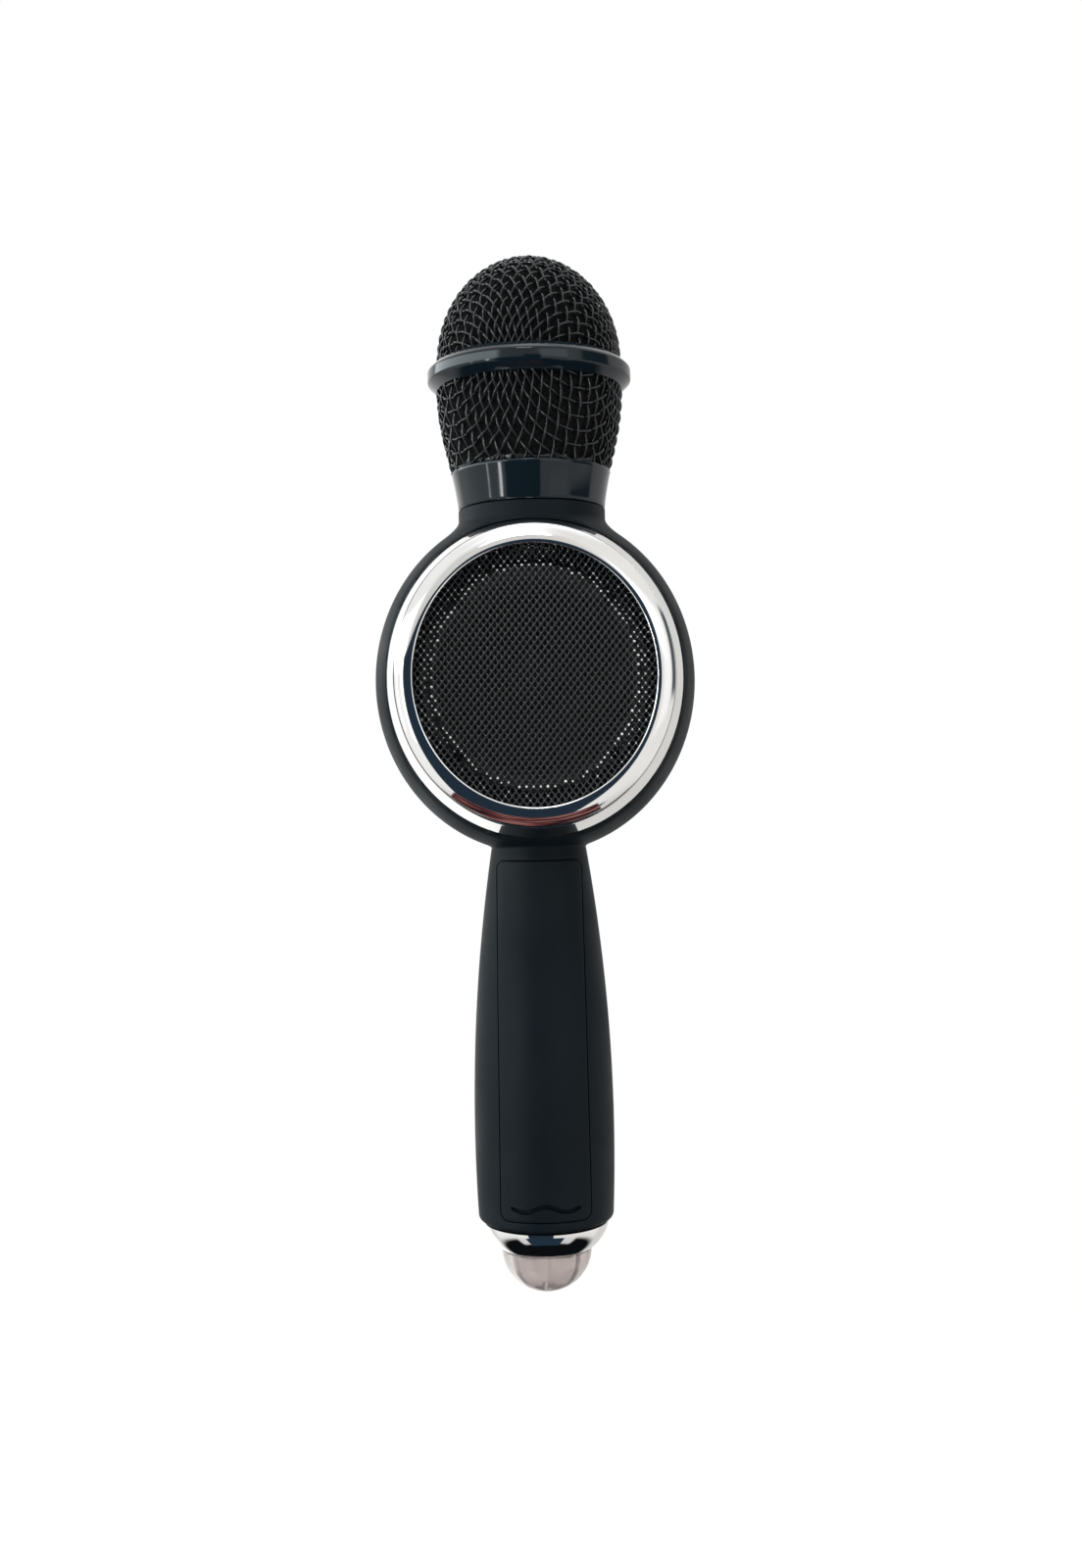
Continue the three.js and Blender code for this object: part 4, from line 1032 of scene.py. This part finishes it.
def strands(net):
    """Runs of neighbouring net corners along each wire, with the key of each corner."""
    size = max(max(abs(i), abs(j)) for i, j in net)
    for along in (0, 1):
        for fixed in range(-size, size + 1):
            run = []
            for moving in range(-size, size + 2):
                key = (moving, fixed) if along == 0 else (fixed, moving)
                if key in net:
                    run.append(key)
                elif run:
                    if len(run) > 1:
                        yield along, run
                    run = []


def wire_path(surface, net, along, run, wave):
    """Points along one wire: over and under the wires that it crosses."""
    per_mesh = 6
    corners = np.array([net[key] for key in run])
    padded = np.vstack([2 * corners[0] - corners[1], corners, 2 * corners[-1] - corners[-2]])
    signs = np.array([(1 if (i + j) % 2 == 0 else -1) * (1 if along == 0 else -1) for i, j in run])
    flat, height = [], []
    for k in range(len(run) - 1):
        p0, p1, p2, p3 = padded[k : k + 4]
        last = k == len(run) - 2
        for t in np.linspace(0, 1, per_mesh + 1)[: per_mesh + (1 if last else 0)]:
            flat.append(0.5 * (2 * p1 + (p2 - p0) * t + (2 * p0 - 5 * p1 + 4 * p2 - p3) * t**2
                               + (3 * p1 - p0 - 3 * p2 + p3) * t**3))
            height.append(signs[k] * math.cos(math.pi * t))
    flat = np.array(flat)
    offset = wave * np.sign(height) * np.abs(height) ** 0.8
    normal = surface.normal(flat)
    return surface.point(flat) + normal * offset[:, None], normal


def tube(path, normal, radius):
    """Vertices and faces of a round wire with closed ends."""
    sides = 7
    tangent = np.gradient(path, axis=0)
    tangent /= np.linalg.norm(tangent, axis=1)[:, None]
    side = np.cross(tangent, normal)
    side /= np.linalg.norm(side, axis=1)[:, None]
    up = np.cross(side, tangent)
    angles = np.linspace(0, 2 * math.pi, sides, endpoint=False)
    ring = np.cos(angles)[None, :, None] * side[:, None, :] + np.sin(angles)[None, :, None] * up[:, None, :]
    return (path[:, None, :] + radius * ring).reshape(-1, 3), loft(len(path), sides)


WIRE_RADIUS = 0.29 * MM
WIRE_PITCH = 2.75 * MM
BASKET_PITCH = 2.65 * MM
WEAVE_TURN = math.radians(-90 + 33)
WEAVE_WAVE = WIRE_RADIUS * 1.35


def woven(name, node, former, surface, pitch, shown):
    """Square wire mesh laid over a former and pressed to a surface; shown says which heights are kept."""
    cosine, sine = math.cos(WEAVE_TURN), math.sin(WEAVE_TURN)
    turned = np.array([[cosine, -sine], [sine, cosine]])
    net = {key: turned @ point for key, point in whole_net(draw_net(former, pitch)).items()}
    all_verts, all_faces, total = [], [], 0
    for along, run in strands(net):
        path, normal = wire_path(surface, net, along, run, WEAVE_WAVE)
        for piece in kept_runs(shown(path[:, 2])):
            if len(piece) < 3:
                continue
            verts, faces = tube(path[piece], normal[piece], WIRE_RADIUS)
            all_verts.append(verts)
            all_faces += [tuple(i + total for i in face) for face in faces]
            total += len(verts)
    mesh = new_object(name, np.vstack(all_verts), all_faces, 60)
    finish_piece(mesh, WIRE_BLACK, [node], "head")


def kept_runs(mask):
    """Index runs where mask is true."""
    indices = np.flatnonzero(mask)
    if not len(indices):
        return []
    return np.split(indices, np.flatnonzero(np.diff(indices) > 1) + 1)


def dome_profile(inset):
    """The dome from its top down, and a straight skirt that reaches into the band."""
    height, radius = DOME_HIGH - inset - BAND_HIGH, DOME_RADIUS - inset
    angles = np.linspace(math.pi / 2, 0, 220)
    profile = [(radius * math.cos(a), BAND_HIGH + height * math.sin(a)) for a in angles]
    return profile + [(radius, BAND_HIGH - k * 0.5 * MM) for k in range(1, 8)]


def basket_radius(z):
    """The basket widens from the collar to the band along a quarter of a sine wave."""
    share = np.clip((z - COLLAR_HIGH) / (BAND_LOW - COLLAR_HIGH), 0, 1)
    return BASKET_FOOT_RADIUS + (BASKET_RADIUS - BASKET_FOOT_RADIUS) * np.sin(share * math.pi / 2)


FORMER_RADIUS = 23 * MM
FORMER_FOOT, FORMER_BAND = 18.7 * MM, 35 * MM


def basket_former():
    """The round cup that the basket's mesh is drawn over before it is stretched straight."""
    angles = np.linspace(0, math.pi / 2, 220)
    cup = [(FORMER_RADIUS * math.sin(a), -FORMER_RADIUS * math.cos(a)) for a in angles]
    return Surface(cup + [(FORMER_RADIUS, k * 0.5 * MM) for k in range(1, 12)])


def basket_surface(inset):
    """The basket's own shape, with lengths along the former for each of its heights."""
    heights = np.linspace(COLLAR_HIGH - 5 * MM, BAND_LOW + 4 * MM, 160)
    share = (heights - COLLAR_HIGH) / (BAND_LOW - COLLAR_HIGH)
    profile = np.column_stack([basket_radius(heights) - inset, heights])
    return Surface(profile, FORMER_FOOT + (FORMER_BAND - FORMER_FOOT) * share)


def head():
    """Dome and basket of woven wire, the glossy band between them, and the foam inside."""
    sunk = WIRE_RADIUS * 2
    dome = Surface(dome_profile(sunk))
    woven("head_dome_weave", "head_dome", dome, dome, WIRE_PITCH, lambda z: z > BAND_HIGH - MM)
    woven("head_basket_weave", "head_basket", basket_former(), basket_surface(sunk), BASKET_PITCH,
          lambda z: (z > COLLAR_HIGH - 0.6 * MM) & (z < BAND_LOW + MM))
    edge, inner = BAND_RADIUS - 2.2 * MM, 22 * MM
    corners = [(edge, BAND_LOW), (BAND_RADIUS, BAND_LOW + 2 * MM), (BAND_RADIUS, BAND_HIGH - 2.1 * MM),
               (edge, BAND_HIGH), (inner, BAND_HIGH), (inner, BAND_LOW)]
    profile = softened(corners, 0.45 * MM, 4)
    band = turn("head_band_skin", profile, steps=256, sharp=50)
    finish_piece(band, GLOSS_BLACK, ["head_band"], "head")
    foam()


def foam():
    """Foam liner, slightly uneven, just inside the wires."""
    inset = 1.6 * MM
    outer = dome_profile(inset)[::6] + [(float(basket_radius(z)) - inset, z)
                                        for z in np.linspace(BAND_LOW, COLLAR_HIGH + 0.2 * MM, 18)]
    hollow = [(r * 0.72, z - 5 * MM if z > BAND_HIGH else z) for r, z in outer]
    profile = outer + hollow[::-1]
    liner = turn("head_foam_liner", profile, steps=160, closed=False, sharp=80)
    points = read_points(liner.data)
    ripple = np.sin(points @ np.array([900, 500, 300])) * np.sin(points @ np.array([-400, 800, 700]))
    scale = 1 + 0.15 * MM * ripple / np.maximum(np.hypot(points[:, 0], points[:, 1]), 5 * MM)
    points[:, :2] *= scale[:, None]
    liner.data.vertices.foreach_set("co", points.ravel())
    finish_piece(liner, FOAM, ["head_foam"], "head")


def collar():
    """Glossy collar, slightly hollow in outline, with a fine bevel on top."""
    bottom = NECK_RADIUS
    flare, height = COLLAR_RADIUS - bottom, COLLAR_HIGH - 0.6 * MM - COLLAR_LOW
    side = [(bottom + flare * k**1.3, COLLAR_LOW + height * k) for k in np.linspace(0.03, 1, 16)]
    thread_top, thread_radius, thread_bore = high("head_collar")[2], 16.8 * MM, 15.9 * MM
    bore, step = SPIGOT_RADIUS + GAP, SPIGOT_TOP + GAP
    bevel = [(COLLAR_RADIUS - 0.15 * MM, COLLAR_HIGH - 0.25 * MM), (COLLAR_RADIUS - 0.6 * MM, COLLAR_HIGH)]
    profile = [(bottom - 0.25 * MM, COLLAR_LOW), *side, *bevel, (thread_radius, COLLAR_HIGH),
               (thread_radius, thread_top), (thread_bore, thread_top), (thread_bore, step), (bore, step),
               (bore, COLLAR_LOW)]
    piece = turn("head_collar_skin", profile, steps=256, sharp=40)
    finish_piece(piece, GLOSS_BLACK, ["head_collar"])


# ---- tail -----------------------------------------------------------------------------------


def tail():
    """Chrome ring, curved in from the handle to the light dome that sits in it."""
    top, low_radius = 15.7 * MM, 11.5 * MM
    control = (top - 0.5 * MM, TAIL_TOP - 3.9 * MM)
    curve = []
    for t in np.linspace(0.04, 0.97, 18):
        curve.append(((1 - t) ** 2 * top + 2 * t * (1 - t) * control[0] + t**2 * low_radius,
                      (1 - t) ** 2 * TAIL_TOP + 2 * t * (1 - t) * control[1] + t**2 * TAIL_LOW))
    shoulder = TAIL_LOW + 4.3 * MM
    shelf, ring_top = shoulder + 1.5 * MM, high("tail_ring")[2]
    bore, seat, spigot_bore, spigot = 9 * MM, 11 * MM, 11.6 * MM, 13.1 * MM
    profile = [(top - 0.4 * MM, TAIL_TOP), *curve, (seat, TAIL_LOW), (seat, shoulder), (bore, shoulder),
               (bore, shelf), (spigot_bore, shelf), (spigot_bore, ring_top), (spigot, ring_top),
               (spigot, TAIL_TOP)]
    ring = turn("tail_ring_skin", profile, steps=256, sharp=50)
    finish_piece(ring, CHROME, ["tail_ring"])
    light_dome()
    for index in (1, 2, 3):
        lamp(index)


LIGHT_FACETS = 8
LIGHT_STEPS = 128


def bowl(radius, reach, z_end, foot):
    """A round bowl cut flat at its tip."""
    last = math.asin((foot - z_end) / reach)
    return [(radius * math.cos(a), foot - reach * math.sin(a)) for a in np.linspace(0, last, 26)]


def light_dome():
    """A clear bowl below the tail ring, with a collar that plugs into it and facets inside."""
    foot, top = TAIL_LOW - GAP, high("light_dome")[2]
    wall, reach = 1.5 * MM, 10.8 * MM
    plug, inner_radius = 10.7 * MM, LIGHT_RADIUS - wall - 0.4 * MM
    outer = bowl(LIGHT_RADIUS, reach, TIP_Z, foot)
    inner = bowl(inner_radius, reach - wall, TIP_Z + wall, foot)
    profile = [(0, TIP_Z), *outer[::-1], (plug, foot), (plug, top), (inner_radius, top), *inner,
               (0, TIP_Z + wall)]
    piece = turn("light_dome_skin", profile, steps=LIGHT_STEPS, closed=False, sharp=30)
    facet_inside(piece, len(outer) + 3, len(inner))
    finish_piece(piece, CLEAR, ["light_dome"])


def facet_inside(piece, first_row, rows):
    """Flattens rows of the turned dome to a polygon, so that its inner wall has facets."""
    points = read_points(piece.data)
    half = math.pi / LIGHT_FACETS
    angle = np.linspace(0, 2 * math.pi, LIGHT_STEPS, endpoint=False)
    pull = math.cos(half) / np.cos(angle % (2 * half) - half)
    for row in range(first_row, first_row + rows):
        points[row * LIGHT_STEPS : (row + 1) * LIGHT_STEPS, :2] *= pull[:, None]
    piece.data.vertices.foreach_set("co", points.ravel())
    soften_shading(piece, 30)


def lamp(index):
    """A small lamp that hangs from its board: a round tip and a flange."""
    node = f"lamp_{index}"
    centre, bottom, top = centre_of(node), low(node)[2], high(node)[2]
    radius, flange, flange_low = 2.4 * MM, 2.7 * MM, top - MM
    angles = np.linspace(0.15, math.pi / 2, 8)
    tip = [(radius * math.sin(a), bottom + radius * (1 - math.cos(a))) for a in angles]
    profile = [(0, bottom), *tip, (radius, flange_low), (flange, flange_low), (flange, top), (0, top)]
    piece = turn(node + "_bulb", profile, centre=(centre[0], centre[1], 0), steps=32, closed=False)
    finish_piece(piece, LAMP_WHITE, [node])


# ---- controls -------------------------------------------------------------------------------


def control_panel():
    """A glossy plate that follows the handle, with holes for the keys and sliders."""
    holes = [button_hole(key) for key in BUTTON_KEYS] + [slider_slot(key) for key in SLIDER_KEYS]
    inner = grid_points(-PANEL_HALF, PANEL_HALF, PANEL_LOW, PANEL_HIGH, 0.8 * MM, 1.4 * MM)
    flat, faces, drop = flat_mesh(panel_outline(), holes, inner)
    skin = np.sqrt((handle_radius(flat[:, 1]) + PANEL_PROUD) ** 2 - flat[:, 0] ** 2)
    back = np.sqrt((handle_radius(flat[:, 1]) - 0.9 * MM) ** 2 - flat[:, 0] ** 2)
    panel = thick_sheet("control_panel_skin", flat, faces, skin - drop, back)
    finish_piece(panel, GLOSS_BLACK, ["control_panel"])


def button(key):
    """Chrome key with a dished top, a flange behind the shell and a stem to its switch."""
    node = key + "_button"
    (_, y0, _), (_, y1, _) = low(node), high(node)
    radius, flange = 2.6 * MM, 3.3 * MM
    z = centre_of(node)[2]
    stem, hollow = 1.3 * MM, 0.35 * MM
    back = math.sqrt((handle_radius(z + flange) - WALL) ** 2 - flange**2) - GAP
    flange_back = back - 0.4 * MM
    dish = [(radius * k, y1 - hollow * (1 - k**2)) for k in np.linspace(0.8, 0.1, 7)]
    rim = [(radius, y1 - 0.45 * MM), (radius - 0.1 * MM, y1 - 0.15 * MM), (radius - 0.4 * MM, y1)]
    profile = [(0, y0), (stem, y0), (stem, flange_back), (flange, flange_back), (flange, back),
               (radius, back), *rim, *dish, (0, y1 - hollow)]
    piece = turn(node + "_key", profile, axis="Y", centre=(0, 0, z), steps=64, closed=False, sharp=35)
    finish_piece(piece, CHROME, [node], key + "_key")


def slider(key):
    """A rounded knob with three finger ribs on a flat stem."""
    node = key + "_slider"
    (x0, y0, z0), (x1, y1, z1) = low(node), high(node)
    outline = rounded_rectangle(x0, z0, x1, z1, 0.7 * MM, spacing=0.5 * MM)
    grid = grid_points(x0, x1, z0, z1, 0.25 * MM, 0.12 * MM)
    flat, faces, drop = flat_mesh(outline, [], grid)
    x, z = (x0 + x1) / 2, (z0 + z1) / 2
    along = np.abs(flat[:, 1] - z)
    rib_pitch, rib_height, ribbed = 1.1 * MM, 0.18 * MM, 1.66 * MM
    ribs = rib_height * np.cos(along * 2 * math.pi / rib_pitch) * (along < ribbed)
    crown_rise, half_length, thickness = 0.35 * MM, 2.3 * MM, 1.7 * MM
    front = y1 - 0.2 * MM - drop + ribs - crown_rise * (along / half_length) ** 2
    cap = thick_sheet(node + "_knob", flat, faces, front, np.full(len(flat), y1 - thickness))
    across, reach, root = 0.7 * MM, 1.2 * MM, y1 - 1.2 * MM
    stem = box_solid("stem", (x - across, y0, z - reach), (x + across, root, z + reach))
    boolean(cap, stem, "UNION")
    soften_shading(cap, 35)
    finish_piece(cap, CHROME, [node], key + "_knob")


def battery_cell():
    """A sleeved round cell with a small button at its top."""
    (_, _, z0), (radius, _, z1) = low("battery_cell"), high("battery_cell")
    shoulder, button_radius = z1 - 0.8 * MM, 3.2 * MM
    corners = [(0, z0), (radius - 0.5 * MM, z0), (radius, z0 + 0.5 * MM), (radius, shoulder - 0.6 * MM),
               (radius - 0.6 * MM, shoulder), (button_radius, shoulder), (button_radius, z1), (0, z1)]
    profile = softened(corners, 0.25 * MM, closed=False)
    centre = (0, centre_of("battery_cell")[1], 0)
    cell = turn("battery_cell_sleeve", profile, centre=centre, steps=96, closed=False)
    finish_piece(cell, CELL_BLUE, ["battery_cell"])


# Finishes of the CAD nodes that are shown as they are.
KEPT = [
    (STEEL, ["speaker_magnet", "mic_capsule", "usb_port", "battery_spring", "battery_contact", "case_screw_1",
             "case_screw_2", *(key + "_pot" for key in SLIDER_KEYS)]),
    (DARK_PLASTIC, ["speaker_frame", "passive_radiator", "capsule_holder", "audio_jack", "battery_tray",
                    *(key + "_switch" for key in BUTTON_KEYS)]),
    (WIRE_BLACK, ["head_base_ring", *(f"speaker_screw_{i}" for i in (1, 2, 3, 4))]),
    (CONE_PAPER, ["speaker_cone", "speaker_dust_cap"]),
    (BOARD_GREEN, ["main_board"]),
    (LAMP_WHITE, ["lamp_board"]),
]


def kept_nodes():
    """Gives each kept CAD node its finish and soft shading."""
    for material, names in KEPT:
        for node in names:
            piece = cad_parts[node]
            piece.data.materials.clear()
            piece.data.materials.append(material)
            soften_shading(piece, 35)


# ---- stage, light and camera ----------------------------------------------------------------


def stage_card(name, verts, faces, *hidden_from):
    """A flat thing of the stage that some kinds of rays don't see, with a material of its own."""
    mesh = bpy.data.meshes.new(name)
    mesh.from_pydata(verts, [], faces)
    card = bpy.data.objects.new(name, mesh)
    for rays in hidden_from:
        setattr(card, "visible_" + rays, False)
    bpy.context.scene.collection.objects.link(card)
    look = Look(name)
    mesh.materials.append(look.material)
    card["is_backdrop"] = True
    return look


def floor():
    """A white floor well below, whose shading fades into the white backdrop."""
    level, size, steps = cad_box[0][2] - 120 * MM, 900 * MM, 96
    fade_start, fade_end = 200 * MM, 450 * MM
    angles = np.linspace(0, 2 * math.pi, steps, endpoint=False)
    verts = [(0, 0, level)] + [(size * math.cos(a), size * math.sin(a), level) for a in angles]
    faces = [(0, k + 1, (k + 1) % steps + 1) for k in range(steps)]
    look = stage_card("floor", verts, faces, "glossy", "transmission")
    look.fill(look.shader, {"Base Color": (0.9, 0.9, 0.9, 1), "Roughness": 0.9})
    distance = look.add("VectorMath", {0: look.place}, operation="LENGTH").outputs["Value"]
    fade = look.smooth_step(distance, fade_start, fade_end)
    glow = look.add("Emission", {}).outputs["Emission"]
    look.show(look.add("MixShader", {0: fade, 1: look.shader.outputs["BSDF"], 2: glow}))


def red_cloth():
    """A dark red cloth below the disc, in front of the grip: it only shows in polished surfaces."""
    x0, x1, y0, y1, level = -46 * MM, 29 * MM, -58 * MM, -34 * MM, 30 * MM
    verts = [(x0, y0, level), (x1, y0, level), (x1, y1, level), (x0, y1, level)]
    look = stage_card("red_cloth", verts, [(0, 1, 2, 3)], "camera", "diffuse", "shadow", "transmission")
    folds = look.add("Mapping", {"Vector": look.place, "Scale": (0.35, 1.6, 1)}).outputs["Vector"]
    streaks = look.noise(140, detail=4, place=folds)
    colour = look.ramp(streaks, (0.36, (0.012, 0.01, 0.014)), (0.48, (0.11, 0.03, 0.03)),
                       (0.62, (0.3, 0.14, 0.13)))
    look.show(look.add("Emission", {"Color": colour}))


WHITE = (1, 1, 1)
WALLS = (0.72, 0.71, 0.69)
NIGHT = (0.004, 0.005, 0.006)
NAVY = (0.018, 0.031, 0.048)

# What the room looks like from the object: (azimuth span, elevation span, softness, colour), in
# degrees, azimuth 0 towards the camera and growing to the right, later entries over earlier ones.
ROOM = [
    ((-200, 200), (40, 100), 12, (1.3, 1.32, 1.34)),
    ((-172, -134), (-40, 60), 8, (1.15, 1.15, 1.13)),
    ((-200, 200), (74, 100), 3, (2.4, 2.5, 2.6)),
    ((-120, -28), (-40, 60), 10, (1.0, 1.0, 0.98)),
    ((8, 120), (-40, 60), 10, (0.92, 0.9, 0.87)),
    ((62, 100), (-4, 26), 3, (0.1, 0.11, 0.12)),
    ((28, 56), (-10, 24), 3, (1.1, 1.1, 1.1)),
    ((-130, -34), (8, 22), 4, (4.4, 4.9, 5.1)),
    ((12, 44), (9, 20), 3, (1.8, 1.95, 2.1)),
    ((-14, 4), (31, 40), 1, (12, 12, 12)),
    ((-48, -43.5), (-14, 5), 0.6, (16, 16, 16)),
    ((-67, -65), (-14, 5), 0.6, (9, 9, 9)),
    ((-200, 200), (-100, -60), 4, NIGHT),
    ((-200, -66), (-72, -43), 5, NIGHT),
    ((66, 200), (-72, -43), 5, NIGHT),
    ((-46, 38), (-67, -42), 1, (0.017, 0.034, 0.056)),
    ((-38, 14), (-44, 9), 0.7, NAVY),
    ((-5, 14), (8, 12), 1, NAVY),
]


def room():
    """White behind for the camera; for everything else a pale room with windows and dark things in it."""
    world = bpy.data.worlds.new("room")
    world.use_nodes = True
    graph = Graph(world.node_tree)
    direction = graph.add("TexCoord", {}).outputs["Generated"]
    x, y, z = graph.add("SeparateXYZ", {"Vector": direction}).outputs
    azimuth = graph.calculate("ARCTAN2", x, graph.calculate("MULTIPLY", y, -1))
    elevation = graph.calculate("ARCSINE", z)
    colour = (*WALLS, 1)
    for across, up, softness, tint in ROOM:
        masks = between(graph, azimuth, across, softness), between(graph, elevation, up, softness)
        colour = graph.mix(graph.calculate("MULTIPLY", *masks), colour, (*tint, 1))
    seen = graph.add("LightPath", {}).outputs["Is Camera Ray"]
    graph.fill(world.node_tree.nodes["Background"], {"Color": graph.mix(seen, colour, (*WHITE, 1))})
    bpy.context.scene.world = world


def between(graph, angle, span, softness):
    """1 where an angle (radians) lies in a span (degrees), with soft edges."""
    start, end = (math.radians(limit) for limit in span)
    away = graph.calculate("ABSOLUTE", graph.calculate("SUBTRACT", angle, (start + end) / 2))
    half, edge = (end - start) / 2, math.radians(softness)
    return graph.smooth_step(away, half + edge, half - edge)


def camera():
    """Level with a point just below the disc, about 0.41 m away, rolled slightly."""
    data = bpy.data.cameras.new("camera")
    data.lens = 37.6
    data.clip_start = 10 * MM
    eye = Vector((0.9 * MM, -412 * MM, 60 * MM))
    item = bpy.data.objects.new("camera", data)
    roll = Matrix.Rotation(math.radians(-1.2), 4, "Z")
    level = Matrix.Rotation(math.radians(90), 4, "X")
    item.matrix_world = Matrix.Translation(eye) @ level @ roll
    bpy.context.scene.collection.objects.link(item)
    bpy.context.scene.camera = item


# ---- the whole ------------------------------------------------------------------------------

camera()
room()
floor()
red_cloth()
shells()
shell_tongue()
battery_cover()
for name in FACING:
    bezel_ring(name)
    grille(name)
    glint_beads(name)
head()
collar()
tail()
control_panel()
for name in BUTTON_KEYS:
    button(name)
for name in SLIDER_KEYS:
    slider(name)
battery_cell()
kept_nodes()
bpy.context.scene.view_settings.view_transform = "Standard"

visual_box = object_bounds()
boxes = {"cad": cad_box, "visual": visual_box}
{name: [list(corner) for corner in box] for name, box in boxes.items()}
